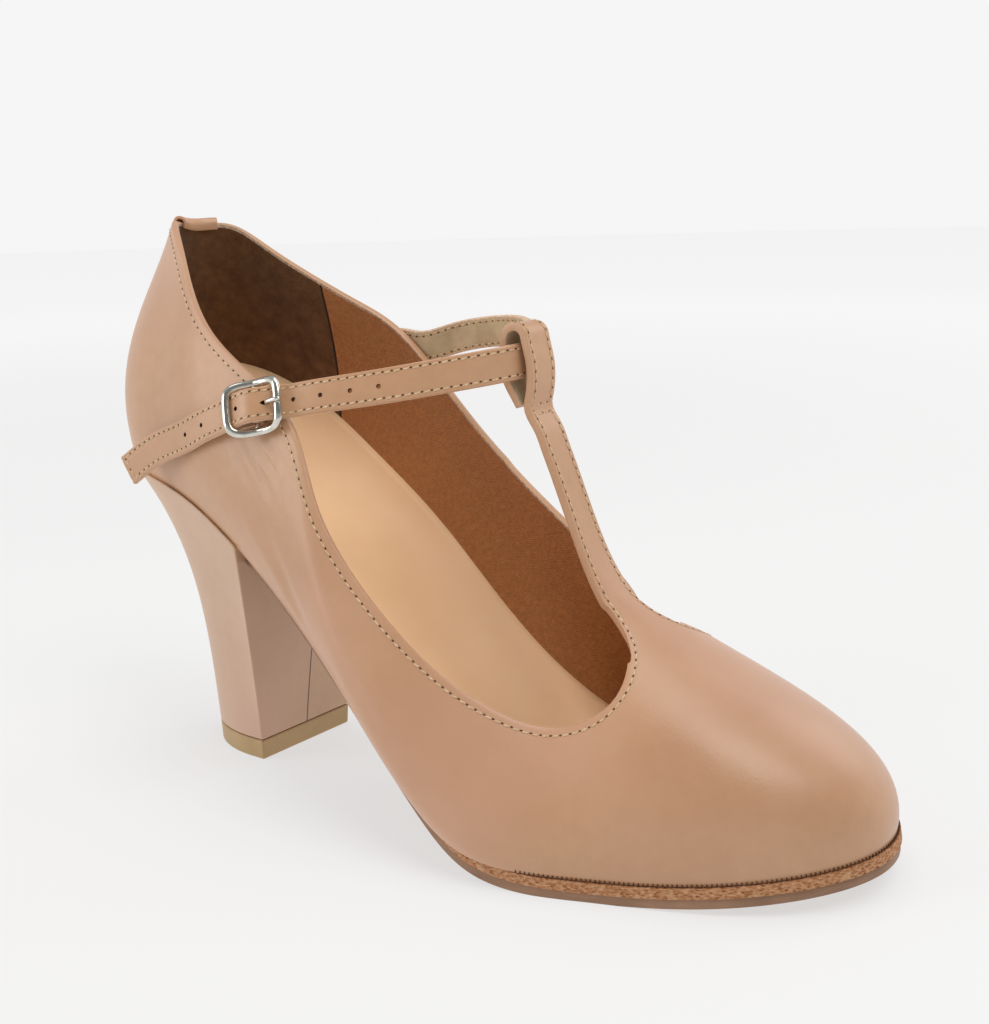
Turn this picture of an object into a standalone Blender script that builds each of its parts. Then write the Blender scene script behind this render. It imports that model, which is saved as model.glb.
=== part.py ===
"""A right-foot character shoe: closed smooth pump, T-strap with a loop, buckled ankle strap, tall block heel.

Metres, +Z up, toe towards +X. The origin is the middle of the heel tip's underside, on the floor.
The outer (buckle) side of the foot is -Y, the inner side is +Y.
"""
import math

import bmesh
import bpy
import numpy as np

# Driving sizes of the last
LAST_LENGTH = 0.2147
BALL_WIDTH = 0.0795
HEEL_RISE = 0.0735
COUNTER_HEIGHT = 0.0620
TOE_SPRING = 0.0056
HEEL_SET = 0.0390

# Thicknesses of the layers
UPPER_WALL = 0.0018
INSOLE_THICKNESS = 0.0020
MIDSOLE_THICKNESS = 0.0020
OUTSOLE_THICKNESS = 0.0020
FIT_GAP = 0.0003

# Sole margins, measured outwards from the last's feather line
FOREFOOT_MARGIN = 0.0007
WAIST_TUCK = 0.0030
FOREFOOT_START = 0.76 * LAST_LENGTH - HEEL_SET
WAIST_END = 0.56 * LAST_LENGTH - HEEL_SET
OUTSOLE_STEP = 0.0002

# Heel and top piece
HEEL_TIP_WIDTH = 0.0335
HEEL_TIP_LENGTH = 0.0280
TOP_PIECE_HEIGHT = 0.0053
HEEL_INSET = 0.0002
BREAST_TOP_X = 0.293 * LAST_LENGTH - HEEL_SET
TIP_DRAFT = 0.0003

# Straps
T_STRAP_WIDTH = 0.0089
T_STRAP_ROOT_OUTER = 0.0071
T_STRAP_ROOT_INNER = 0.0045
THROAT_FILLET = 0.0080
T_STRAP_BACK = 0.0245
T_STRAP_SHIFT = 0.0006
T_STRAP_RISE = 0.0455
FOLD_SEAM_HEIGHT = 0.0030
LOOP_HEIGHT = 0.0185
LOOP_RADIUS = 0.0038
STRAP_WIDTH = 0.0080
STRAP_THICKNESS = 0.0016
STRAP_HOLE = 0.0015
TAB_WIDTH = 0.0078
TAB_THICKNESS = 0.0008
HEEL_TAB_WIDTH = 0.0125
HEEL_TAB_DROP = 0.0035
HEEL_TAB_THICKNESS = 0.0009

# Buckle
BUCKLE_LENGTH = 0.0156
BUCKLE_TURN = math.radians(12)
BUCKLE_HEIGHT = 0.0136
BUCKLE_WIRE = 0.0015
BAR_WIRE = 0.0011
PRONG_WIRE = 0.0009
PRONG_HOLE = 0.0038
PRONG_HOLE_LENGTH = 0.0030
BAR_PLAY = 0.0002
BAR_LIFT = FIT_GAP + TAB_THICKNESS + FIT_GAP + BAR_WIRE / 2 + BAR_PLAY
FRAME_BOW = 0.0022
FRAME_LIFT = BAR_LIFT + FRAME_BOW
WRAP_RADIUS = BAR_LIFT - FIT_GAP - (TAB_THICKNESS + BAR_PLAY) / 2

SOLE_STACK = OUTSOLE_THICKNESS + MIDSOLE_THICKNESS + 2 * FIT_GAP

# Underside of the last, heel to toe: share of the length, share of the heel rise, share of the toe spring
FEATHER_LINE = (
    (0.00, 1.000, 0.00),
    (0.10, 0.965, 0.00),
    (0.22, 0.885, 0.00),
    (0.34, 0.690, 0.00),
    (0.46, 0.405, 0.00),
    (0.56, 0.165, 0.00),
    (0.64, 0.035, 0.00),
    (0.72, 0.000, 0.00),
    (0.80, 0.000, 0.00),
    (0.90, 0.000, 0.35),
    (1.02, 0.000, 1.00),
)

# Ribs of the upper, from the heel back along the outer side to the toe and back along the inner side.
# foot_x, top_x: shares of LAST_LENGTH. foot_y, top_y: shares of BALL_WIDTH.
# rise and the four handle lengths: shares of COUNTER_HEIGHT. cut: share of the rib that the topline keeps.
STATION_COLUMNS = ("foot_x", "foot_y", "top_x", "top_y", "rise",
                   "foot_out", "foot_up", "top_out", "top_down", "cut")
STATIONS = (
    ("back",             0.026, 0.015, 0.082, 0.037, 0.996, 0.145, 0.467, 0.087, 0.306, 1.00),
    ("outer counter",    0.066, -0.235, 0.101, -0.092, 1.022, 0.122, 0.470, 0.100, 0.303, 1.00),
    ("outer seat",       0.150, -0.312, 0.160, -0.214, 0.950, 0.090, 0.399, 0.072, 0.295, 1.00),
    ("outer breast",     0.265, -0.367, 0.246, -0.320, 0.784, 0.099, 0.312, 0.072, 0.252, 1.00),
    ("outer waist",      0.385, -0.403, 0.374, -0.369, 0.790, 0.117, 0.226, 0.067, 0.208, 1.00),
    ("outer shank",      0.534, -0.473, 0.462, -0.433, 0.770, 0.118, 0.152, 0.084, 0.215, 1.00),
    ("outer ball",       0.649, -0.519, 0.586, -0.393, 0.637, 0.083, 0.134, 0.118, 0.209, 0.935),
    ("outer toe side",   0.774, -0.416, 0.681, -0.261, 0.553, 0.060, 0.198, 0.214, 0.188, 0.830),
    ("outer toe corner", 0.914, -0.255, 0.731, -0.122, 0.634, 0.048, 0.259, 0.385, 0.208, 0.834),
    ("tip",              0.999, 0.053, 0.730, 0.027, 0.687, 0.055, 0.331, 0.490, 0.237, 0.900),
    ("inner toe corner", 0.956, 0.345, 0.721, 0.163, 0.707, 0.052, 0.309, 0.364, 0.287, 0.826),
    ("inner toe side",   0.805, 0.454, 0.669, 0.274, 0.693, 0.050, 0.264, 0.191, 0.220, 0.853),
    ("inner ball",       0.646, 0.458, 0.613, 0.381, 0.813, 0.057, 0.222, 0.093, 0.223, 0.914),
    ("inner shank",      0.538, 0.350, 0.480, 0.381, 0.905, 0.081, 0.224, 0.055, 0.241, 0.990),
    ("inner waist",      0.396, 0.280, 0.348, 0.338, 0.974, 0.113, 0.258, 0.056, 0.231, 1.00),
    ("inner breast",     0.256, 0.293, 0.248, 0.303, 0.859, 0.097, 0.324, 0.066, 0.258, 1.00),
    ("inner seat",       0.151, 0.316, 0.155, 0.233, 0.926, 0.081, 0.390, 0.061, 0.303, 1.00),
    ("inner counter",    0.066, 0.250, 0.108, 0.156, 1.002, 0.113, 0.443, 0.076, 0.314, 1.00),
)

# The strap's route over the outer quarter: place round the last, share of the rib, lift in strap lifts
OUTER_ROUTE = (
    ("free end", 0.0772, 0.066, 6.4),
    ("off the quarter", 0.1000, 0.200, 3.4),
    ("on the quarter", 0.1254, 0.379, 1.8),
    ("behind the buckle", 0.1487, 0.610, 2.2),
)
BUCKLE_SEAT = (0.1773, 0.8925)
INNER_ROUTE = (
    ("topline", 0.8062, 1.000, 1.5),
    ("on the inner quarter", 0.8295, 0.879, 1.2),
    ("stitched end", 0.8611, 0.689, 1.2),
)
OUTER_BOW = 0.0045
INNER_BOW = 0.0125
INNER_ARCH = 0.0040

# Colours and finishes: base colour, roughness, metallic
FINISHES = {
    "tan_leather": ((0.47, 0.28, 0.19), 0.42, 0.0),
    "heel_leather": ((0.45, 0.28, 0.20), 0.45, 0.0),
    "insole_leather": ((0.74, 0.47, 0.30), 0.50, 0.0),
    "raw_leather": ((0.38, 0.17, 0.09), 0.80, 0.0),
    "sole_leather": ((0.42, 0.22, 0.15), 0.55, 0.0),
    "top_plastic": ((0.26, 0.17, 0.08), 0.45, 0.0),
    "buckle_plate": ((0.80, 0.79, 0.77), 0.12, 1.0),
}


class Spline:
    """A smooth cubic curve through values at rising keys, closed when a period is given."""

    def __init__(self, keys, values, period=None):
        self.keys = np.asarray(keys, float)
        self.values = np.asarray(values, float).reshape(len(keys), -1)
        self.period = period
        count = len(keys)
        if period:
            ends = np.append(self.keys[1:], self.keys[0] + period)
            following = np.roll(self.values, -1, axis=0)
        else:
            ends = self.keys[1:]
            following = self.values[1:]
        self.steps = ends - self.keys[:len(ends)]
        slopes = (following - self.values[:len(ends)]) / self.steps[:, None]
        system = np.zeros((count, count))
        known = np.zeros_like(self.values)
        for row in range(count):
            if not period and row in (0, count - 1):
                system[row, row] = 1.0
                continue
            before = self.steps[row - 1]
            after = self.steps[row]
            system[row, row - 1] += before
            system[row, row] += 2 * (before + after)
            system[row, (row + 1) % count] += after
            known[row] = 6 * (slopes[row] - slopes[row - 1])
        self.bends = np.linalg.solve(system, known)

    def __call__(self, places):
        places = np.atleast_1d(np.asarray(places, float))
        if self.period:
            places = self.keys[0] + np.mod(places - self.keys[0], self.period)
        span = np.clip(np.searchsorted(self.keys, places, side="right") - 1, 0, len(self.steps) - 1)
        nxt = (span + 1) % len(self.keys)
        step = self.steps[span][:, None]
        after = (places - self.keys[span])[:, None]
        before = step - after
        low, high = self.bends[span], self.bends[nxt]
        return (low * before ** 3 + high * after ** 3) / (6 * step) \
            + (self.values[span] / step - low * step / 6) * before \
            + (self.values[nxt] / step - high * step / 6) * after


def column(name):
    """One column of the stations table."""
    return np.array([row[1 + STATION_COLUMNS.index(name)] for row in STATIONS])


def station_place(name):
    """Place round the last, 0 to 1, of a named station."""
    return STATION_KEYS[[row[0] for row in STATIONS].index(name)]


FEATHER_TABLE = np.array(FEATHER_LINE)
FEATHER_HEIGHT = Spline(FEATHER_TABLE[:, 0] * LAST_LENGTH - HEEL_SET,
                        FEATHER_TABLE[:, 1] * HEEL_RISE + FEATHER_TABLE[:, 2] * TOE_SPRING)
FOOT_POINTS = np.column_stack([column("foot_x") * LAST_LENGTH - HEEL_SET, column("foot_y") * BALL_WIDTH])
FOOT_CHORDS = np.linalg.norm(np.roll(FOOT_POINTS, -1, axis=0) - FOOT_POINTS, axis=1)
STATION_KEYS = np.concatenate([[0.0], np.cumsum(FOOT_CHORDS)[:-1]]) / FOOT_CHORDS.sum()
FOOT_CURVE = Spline(STATION_KEYS, FOOT_POINTS, period=1.0)
TOP_CURVE = Spline(STATION_KEYS, np.column_stack([
    column("top_x") * LAST_LENGTH - HEEL_SET,
    column("top_y") * BALL_WIDTH,
    *[column(name) * COUNTER_HEIGHT for name in STATION_COLUMNS[4:9]],
    column("cut")]), period=1.0)


def feather_height(x):
    """Height of the last's underside above the floor."""
    return SOLE_STACK + FEATHER_HEIGHT(x)[:, 0]


def ribs(places):
    """The four handles of each rib, from the feather line up to the instep."""
    foot = FOOT_CURVE(places)
    height = feather_height(foot[:, 0])
    run = FOOT_CURVE(places + 1e-4) - FOOT_CURVE(places - 1e-4)
    run /= np.linalg.norm(run, axis=1)[:, None]
    out = np.column_stack([run[:, 1], -run[:, 0]])
    top_x, top_y, rise, foot_out, foot_up, top_out, top_down = TOP_CURVE(places)[:, :7].T
    start = np.column_stack([foot, height])
    end = np.column_stack([top_x, top_y, height + rise])
    first = start + np.column_stack([out * foot_out[:, None], foot_up])
    second = end + np.column_stack([out * top_out[:, None], -top_down])
    return start, first, second, end


def skin(places, shares):
    """Outer surface of the upper: places round the last, shares up each rib."""
    places = np.atleast_1d(np.asarray(places, float))
    share = np.broadcast_to(np.asarray(shares, float), places.shape)[:, None]
    start, first, second, end = ribs(places)
    rest = 1 - share
    low = rest ** 3 * start + 3 * share * rest ** 2 * first
    return low + 3 * share ** 2 * rest * second + share ** 3 * end


def skin_normal(places, shares):
    """Outward direction of the upper's surface."""
    around = skin(np.asarray(places) + 1e-3, shares) - skin(np.asarray(places) - 1e-3, shares)
    upward = skin(places, np.asarray(shares) + 1e-3) - skin(places, np.asarray(shares) - 1e-3)
    normal = np.cross(around, upward)
    return normal / np.linalg.norm(normal, axis=1)[:, None]


def strap_root_places():
    """Places round the last of the T-strap's two edges, outer then inner."""
    centre = TOP_CURVE(station_place("tip"))[0, 1]
    outer = np.linspace(station_place("outer toe side"), station_place("tip"), 80)
    inner = np.linspace(station_place("tip"), station_place("inner toe side"), 80)
    return (float(np.interp(centre - T_STRAP_ROOT_OUTER, TOP_CURVE(outer)[:, 1], outer)),
            float(np.interp(centre + T_STRAP_ROOT_INNER, TOP_CURVE(inner)[:, 1], inner)))


STRAP_OUTER_EDGE, STRAP_INNER_EDGE = strap_root_places()


def topline(places):
    """Share of each rib that the leather covers: lower in the throat, full at the T-strap."""
    places = np.mod(places, 1.0)
    cut = np.minimum(TOP_CURVE(places)[:, 7], 1.0)
    full = (places < station_place("outer shank")) | (places > station_place("inner shank"))
    cut = np.where(full, 1.0, cut)
    centre = TOP_CURVE(station_place("tip"))[0, 1]
    offset = TOP_CURVE(places)[:, 1] - centre
    side = np.where(offset < 0, -offset - T_STRAP_ROOT_OUTER, offset - T_STRAP_ROOT_INNER)
    reach = np.clip(side / THROAT_FILLET, 0.0, 1.0)
    near = (places > station_place("outer ball")) & (places < station_place("inner ball"))
    rounded = np.where(near, 1 - np.sqrt(1 - (1 - reach) ** 2), 0.0)
    return cut + (1 - cut) * rounded


def body_places(side_columns, fillet_columns):
    """Rib places from the T-strap's inner edge back round the heel to its outer edge."""
    centre = TOP_CURVE(station_place("tip"))[0, 1]
    turns = np.linspace(0, math.pi / 2, fillet_columns + 1)
    reach = THROAT_FILLET * (1 - np.sin(turns))
    outer = np.linspace(station_place("outer ball"), STRAP_OUTER_EDGE, 200)
    outer_fillet = np.interp(centre - T_STRAP_ROOT_OUTER - reach, TOP_CURVE(outer)[:, 1], outer)
    inner = np.linspace(STRAP_INNER_EDGE, station_place("inner ball"), 200)
    inner_fillet = np.interp(centre + T_STRAP_ROOT_INNER + reach, TOP_CURVE(inner)[:, 1], inner)
    sides = np.linspace(inner_fillet[0], 1 + outer_fillet[0], side_columns)
    return np.concatenate([inner_fillet[::-1][:-1], sides, 1 + outer_fillet[1:]])


def strap_side_path():
    """The T-strap's outer face from the side: up to the loop, over its top and down behind."""
    tip = station_place("tip")
    _, _, handle, root = (points[0] for points in ribs(np.array([tip])))
    stitch = root + np.array([-T_STRAP_BACK, -T_STRAP_SHIFT, T_STRAP_RISE])
    rising = stitch - root
    lead = (root - handle) / np.linalg.norm(root - handle)
    length = np.linalg.norm(rising)
    first = root + lead * length * 0.26
    second = stitch - rising * 0.38
    points = []
    for share in np.linspace(0, 1, 13)[1:]:
        rest = 1 - share
        points.append(rest ** 3 * root + 3 * share * rest ** 2 * first
                      + 3 * share ** 2 * rest * second + share ** 3 * stitch)
    top = stitch + np.array([-0.0004, 0.0, LOOP_HEIGHT - LOOP_RADIUS])
    for share in (0.12, 0.3, 0.65, 1.0):
        bend = np.array([0.0012 * math.sin(math.pi * share), 0.0, 0.0])
        points.append(stitch + (top - stitch) * share + bend)
    centre = top - np.array([LOOP_RADIUS, 0.0, 0.0])
    for turn in np.radians((35, 70, 105, 140, 172)):
        points.append(centre + LOOP_RADIUS * np.array([math.cos(turn), 0.0, math.sin(turn)]))
    behind = stitch - np.array([2 * UPPER_WALL + FIT_GAP, 0.0, 0.0008])
    last = points[-1]
    for drop, inward in ((0.35, 0.0), (0.62, 0.12), (0.82, 0.55), (1.0, 1.0)):
        points.append(last + (behind - last) * np.array([inward, inward, drop]))
    return root, np.array(points), stitch, centre


ROOT, STRAP_PATH, STITCH, LOOP_CENTRE = strap_side_path()


def material(name):
    """The Principled material of a finish."""
    found = bpy.data.materials.get(name)
    if found:
        return found
    colour, roughness, metallic = FINISHES[name]
    made = bpy.data.materials.new(name)
    made.use_nodes = True
    shader = made.node_tree.nodes["Principled BSDF"]
    shader.inputs["Base Color"].default_value = (*colour, 1.0)
    shader.inputs["Roughness"].default_value = roughness
    shader.inputs["Metallic"].default_value = metallic
    made.diffuse_color = (*colour, 1.0)
    return made


def make_piece(name, points, faces, finish, closed=True):
    """A named object from points and faces; a closed one gets its faces turned outwards."""
    mesh = bpy.data.meshes.new(name)
    mesh.from_pydata([tuple(map(float, point)) for point in points], [], faces)
    shape = bmesh.new()
    shape.from_mesh(mesh)
    if closed:
        bmesh.ops.recalc_face_normals(shape, faces=shape.faces)
    shape.to_mesh(mesh)
    shape.free()
    mesh.shade_smooth()
    mesh.set_sharp_from_angle(angle=math.radians(35))
    piece = bpy.data.objects.new(name, mesh)
    bpy.context.collection.objects.link(piece)
    piece.data.materials.append(material(finish))
    return piece


def make_cutter(name, points, faces):
    """A hidden shape for a Boolean."""
    cutter = make_piece(name, points, faces, "buckle_plate")
    cutter.hide_render = True
    cutter.display_type = "WIRE"
    return cutter


def boolean(piece, cutter, operation):
    """A live Boolean on a piece."""
    step = piece.modifiers.new(cutter.name, "BOOLEAN")
    step.operation = operation
    step.object = cutter
    step.solver = "EXACT"


def loft(rings, closed_path=False):
    """Faces that join rings of equal counts, with flat ends unless the path closes."""
    count = len(rings[0])
    points = np.concatenate(rings)
    faces = []
    joins = len(rings) if closed_path else len(rings) - 1
    for ring in range(joins):
        here = ring * count
        there = ((ring + 1) % len(rings)) * count
        for side in range(count):
            other = (side + 1) % count
            faces.append((here + side, here + other, there + other, there + side))
    if not closed_path:
        faces.append(tuple(range(count)))
        faces.append(tuple(range(len(points) - count, len(points))))
    return points, faces


def sweep(path, outward, section, closed_path=False):
    """A section carried along a path: first measure across it, second along the outward direction."""
    path = np.asarray(path)
    if closed_path:
        ahead = np.roll(path, -1, axis=0) - np.roll(path, 1, axis=0)
    else:
        ahead = np.gradient(path, axis=0)
    ahead /= np.linalg.norm(ahead, axis=1)[:, None]
    across = np.cross(outward, ahead)
    across /= np.linalg.norm(across, axis=1)[:, None]
    upward = np.cross(ahead, across)
    rings = [centre + section[:, :1] * side + section[:, 1:] * up
             for centre, side, up in zip(path, across, upward)]
    return loft(rings, closed_path)


def round_section(diameter, sides):
    """A wire's section."""
    turns = np.arange(sides) * 2 * math.pi / sides
    return np.column_stack([np.cos(turns), np.sin(turns)]) * diameter / 2


def strap_section(width, thickness):
    """A strap's section with eased edges."""
    half_width, half_thickness, ease = width / 2, thickness / 2, thickness * 0.3
    return np.array([
        (-half_width + ease, -half_thickness), (half_width - ease, -half_thickness),
        (half_width, -half_thickness + ease), (half_width, half_thickness - ease),
        (half_width - ease, half_thickness), (-half_width + ease, half_thickness),
        (-half_width, half_thickness - ease), (-half_width, -half_thickness + ease)])


def make_upper():
    """Vamp, quarters and T-strap as one leather shell, open at the collar, at the throat and underneath."""
    shares_up = np.linspace(0, 1, 12)
    places = body_places(58, 6)
    strap_places = np.linspace(STRAP_OUTER_EDGE, STRAP_INNER_EDGE, 7)[1:-1]
    every = np.concatenate([places, strap_places])
    covered = np.concatenate([topline(places), np.ones(len(strap_places))])
    covered[0] = 1.0
    covered[len(places) - 1] = 1.0
    rows = [skin(every, covered * share) for share in shares_up]
    count = len(every)
    points = list(np.concatenate(rows))
    faces = []
    for row in range(len(rows) - 1):
        for side in range(count):
            other = (side + 1) % count
            low, high = row * count, (row + 1) * count
            faces.append((low + side, low + other, high + other, high + side))

    # The columns of the T-strap carry on from the last row, outer edge first
    root_columns = [len(places) - 1, *range(len(places), count), 0]
    below = [(len(rows) - 1) * count + side for side in root_columns]
    root_points = np.array([points[index] for index in below])
    rooted = root_points - root_points.mean(axis=0)
    rooted[:, 1] = root_points[:, 1] - ROOT[1]
    straight = np.outer(np.linspace(-1, 1, len(root_columns)) * T_STRAP_WIDTH / 2, (0.0, 1.0, 0.0))
    reached = np.cumsum(np.linalg.norm(np.diff(np.vstack([ROOT, STRAP_PATH]), axis=0), axis=1))
    narrow_at = reached[11] * 0.55
    for place, centre in zip(reached, STRAP_PATH):
        share = min(place / narrow_at, 1.0)
        blend = share * share * (3 - 2 * share)
        row_points = centre + rooted * (1 - blend) + straight * blend
        row_points[:, 1] = centre[1] + straight[:, 1] + (rooted - straight)[:, 1] * (1 - share) ** 2
        start = len(points)
        points.extend(row_points)
        above = list(range(start, start + len(root_columns)))
        for side in range(len(root_columns) - 1):
            faces.append((below[side], below[side + 1], above[side + 1], above[side]))
        below = above

    upper = make_piece("upper", points, faces, "tan_leather", closed=False)
    wall = upper.modifiers.new("wall", "SOLIDIFY")
    wall.thickness = UPPER_WALL
    wall.offset = -1.0
    wall.use_even_offset = True
    wall.use_quality_normals = True

    # The folded end of the loop is stitched to the strap
    depth = 2 * UPPER_WALL + FIT_GAP
    low = STITCH + np.array([-depth * 0.75, -T_STRAP_WIDTH * 0.42, 0.0002])
    high = STITCH + np.array([-depth * 0.25, T_STRAP_WIDTH * 0.42, FOLD_SEAM_HEIGHT])
    block = make_cutter("stitched_fold", *box(low, high))
    boolean(upper, block, "UNION")
    return upper


def box(low, high):
    """A plain block between two corners."""
    corners = [(x, y, z) for z in (low[2], high[2]) for y in (low[1], high[1]) for x in (low[0], high[0])]
    faces = [(0, 1, 3, 2), (4, 6, 7, 5), (0, 4, 5, 1), (2, 3, 7, 6), (0, 2, 6, 4), (1, 5, 7, 3)]
    return corners, faces


def outline_sides(margin):
    """The feather outline moved outwards by a margin that may vary with x, as an outer and an inner curve."""
    places = np.linspace(0, 1, 1200, endpoint=False)
    foot = FOOT_CURVE(places)
    run = FOOT_CURVE(places + 1e-4) - FOOT_CURVE(places - 1e-4)
    run /= np.linalg.norm(run, axis=1)[:, None]
    moved = foot + np.column_stack([run[:, 1], -run[:, 0]]) * margin(foot[:, 0])[:, None]
    rear, front = int(moved[:, 0].argmin()), int(moved[:, 0].argmax())
    moved = np.roll(moved, -rear, axis=0)
    front = (front - rear) % len(moved)
    return moved[:front + 1], np.vstack([moved[front:], moved[:1]])[::-1]


def plate(name, finish, margin, rear_x, top, bottom, stations=46):
    """A sole layer between two heights that depend on x, cut to the feather outline plus a margin."""
    outer, inner = outline_sides(margin)
    rear = outer[0, 0] if rear_x is None else rear_x
    front = outer[-1, 0]
    closed_rear = rear_x is None
    turns = np.linspace(0 if closed_rear else math.pi / 2, math.pi, stations)
    share = (1 - np.cos(turns)) / 2 if closed_rear else -np.cos(turns)
    x = rear + (front - rear) * share
    cut = slice(1, -1) if closed_rear else slice(0, -1)
    outer_y = np.interp(x[cut], outer[:, 0], outer[:, 1])
    inner_y = np.interp(x[cut], inner[:, 0], inner[:, 1])
    loop = [*zip(x[cut], outer_y), (front, outer[-1, 1]), *zip(x[cut][::-1], inner_y[::-1])]
    if closed_rear:
        loop.append((rear, outer[0, 1]))
    loop = np.array(loop)
    count = len(loop)
    points = np.vstack([np.column_stack([loop, level(loop[:, 0])]) for level in (top, bottom)])
    faces = [(side, (side + 1) % count, count + (side + 1) % count, count + side) for side in range(count)]
    pairs = len(outer_y)
    for level in (0, count):
        for side in range(pairs - 1):
            mirror = 2 * pairs - side
            faces.append(tuple(level + index for index in (side, side + 1, mirror - 1, mirror)))
        faces.append((level + pairs - 1, level + pairs, level + pairs + 1))
        if closed_rear:
            faces.append((level, level + 2 * pairs, level + count - 1))
    return make_piece(name, points, faces, finish)


def sole_margin(x):
    """Forefoot edge stands a little proud of the upper, the waist is tucked under it."""
    tucked = np.clip((FOREFOOT_START - x) / (FOREFOOT_START - WAIST_END), 0.0, 1.0)
    tucked = tucked * tucked * (3 - 2 * tucked)
    return FOREFOOT_MARGIN - (FOREFOOT_MARGIN + WAIST_TUCK) * tucked


def make_insole():
    """Smooth sock that lies on the last's underside, inside the upper's wall."""
    inset = UPPER_WALL + 2 * FIT_GAP
    return plate("insole", "insole_leather", lambda x: np.full_like(x, -inset), None,
                 lambda x: feather_height(x) + INSOLE_THICKNESS, feather_height, stations=48)


def make_midsole():
    """Fibrous layer right under the upper, ending at the heel's breast."""
    return plate("midsole", "raw_leather", sole_margin, BREAST_TOP_X + FIT_GAP,
                 lambda x: feather_height(x) - FIT_GAP,
                 lambda x: feather_height(x) - FIT_GAP - MIDSOLE_THICKNESS)


def make_outsole():
    """Smooth lower layer, flat on the floor under the ball."""
    return plate("outsole", "sole_leather", lambda x: sole_margin(x) - OUTSOLE_STEP, BREAST_TOP_X + FIT_GAP,
                 lambda x: feather_height(x) - 2 * FIT_GAP - MIDSOLE_THICKNESS,
                 lambda x: np.maximum(feather_height(x) - SOLE_STACK, 0.0))


def tip_outline(grow, count):
    """The heel tip's D shape, from the outer breast corner round the back to the inner one."""
    half = HEEL_TIP_WIDTH / 2 + grow
    front = HEEL_TIP_LENGTH / 2 + grow
    straight = front - 0.16 * HEEL_TIP_LENGTH
    turns = np.linspace(0, math.pi, 60)
    arc_x = straight - (straight + HEEL_TIP_LENGTH / 2 + grow) * np.sin(turns)
    arc_y = -half * np.cos(turns)
    shape = np.vstack([(front, -half), np.column_stack([arc_x, arc_y]), (front, half)])
    return even_points(shape, count)


def even_points(line, count):
    """Points spread evenly along a line, ends kept."""
    reached = np.concatenate([[0], np.cumsum(np.linalg.norm(np.diff(line, axis=0), axis=1))])
    places = np.linspace(0, reached[-1], count)
    return np.column_stack([np.interp(places, reached, line[:, axis]) for axis in range(line.shape[1])])


def seat_outline(count):
    """The heel's top edge under the seat, from the outer breast corner round the back to the inner one."""
    outer, inner = outline_sides(lambda x: np.full_like(x, -HEEL_INSET))
    outer = outer[outer[:, 0] < BREAST_TOP_X]
    inner = inner[inner[:, 0] < BREAST_TOP_X]
    outer_corner = (BREAST_TOP_X, outer[-1, 1])
    inner_corner = (BREAST_TOP_X, inner[-1, 1])
    return even_points(np.vstack([outer_corner, outer[::-1], inner[1:], inner_corner]), count)


def strip_caps(start, count):
    """Faces across a ring whose first and last points face each other."""
    faces = []
    for side in range(count // 2 - 1):
        mirror = count - 1 - side
        faces.append((start + side, start + side + 1, start + mirror - 1, start + mirror))
    return faces


def make_heel():
    """Leather-covered block heel: straight breast, hollowed back, wide under the seat."""
    count = 30
    tip = tip_outline(0.0, count)
    seat = seat_outline(count)
    start = TOP_PIECE_HEIGHT + FIT_GAP
    seat_height = feather_height(seat[:, 0]) - FIT_GAP
    round_share = np.sin(np.linspace(0, math.pi, count)) ** 0.6
    rings = []
    for level in (0.0, 0.08, 0.2, 0.34, 0.48, 0.61, 0.73, 0.83, 0.91, 0.96, 1.0):
        corner_blend = level ** 1.1
        back_blend = 0.2 * level + 0.8 * level ** 3.4
        blend = (corner_blend * (1 - round_share) + back_blend * round_share)[:, None]
        plan = tip * (1 - blend) + seat * blend
        height = start + (seat_height - start) * level
        rings.append(np.column_stack([plan, height]))
    points = np.concatenate(rings)
    faces = []
    for ring in range(len(rings) - 1):
        for side in range(count):
            other = (side + 1) % count
            low, high = ring * count, (ring + 1) * count
            faces.append((low + side, low + other, high + other, high + side))
    faces += strip_caps(0, count) + strip_caps(len(points) - count, count)
    return make_piece("heel", points, faces, "heel_leather")


def make_top_piece():
    """Hard wear piece under the heel, a touch smaller at the floor."""
    count = 30
    low = tip_outline(-TIP_DRAFT, count)
    high = tip_outline(0.0, count)
    points = np.vstack([np.column_stack([low, np.zeros(count)]),
                        np.column_stack([high, np.full(count, TOP_PIECE_HEIGHT)])])
    faces = [(side, (side + 1) % count, count + (side + 1) % count, count + side) for side in range(count)]
    faces += strip_caps(0, count) + strip_caps(count, count)
    return make_piece("top_piece", points, faces, "top_plastic")


# Centre of the strap's leather above the quarter where it lies flat
STRAP_LIFT = STRAP_THICKNESS / 2 + FIT_GAP


def route_points(route):
    """Centres and outward directions of a route over the upper."""
    places = np.array([row[1] for row in route])
    shares = np.array([row[2] for row in route])
    lifts = np.array([row[3] for row in route]) * STRAP_LIFT
    outward = skin_normal(places, shares)
    return skin(places, shares) + outward * lifts[:, None], outward


def buckle_frame_axes():
    """Centre of the buckle on the quarter, and its along, across and outward directions."""
    place, share = BUCKLE_SEAT
    centre = skin([place], share)[0]
    outward = skin_normal([place], share)[0]
    behind = OUTER_ROUTE[-1]
    along = centre - skin([behind[1]], behind[2])[0]
    along -= outward * along.dot(outward)
    along /= np.linalg.norm(along)
    turned = along * math.cos(BUCKLE_TURN) - outward * math.sin(BUCKLE_TURN)
    outward = outward * math.cos(BUCKLE_TURN) + along * math.sin(BUCKLE_TURN)
    return centre, turned, np.cross(outward, turned), outward


BUCKLE_CENTRE, ALONG, ACROSS, OUTWARD = buckle_frame_axes()


def at_buckle(along, across, lift):
    """A point in the buckle's own directions."""
    return BUCKLE_CENTRE + ALONG * along + ACROSS * across + OUTWARD * lift


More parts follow.
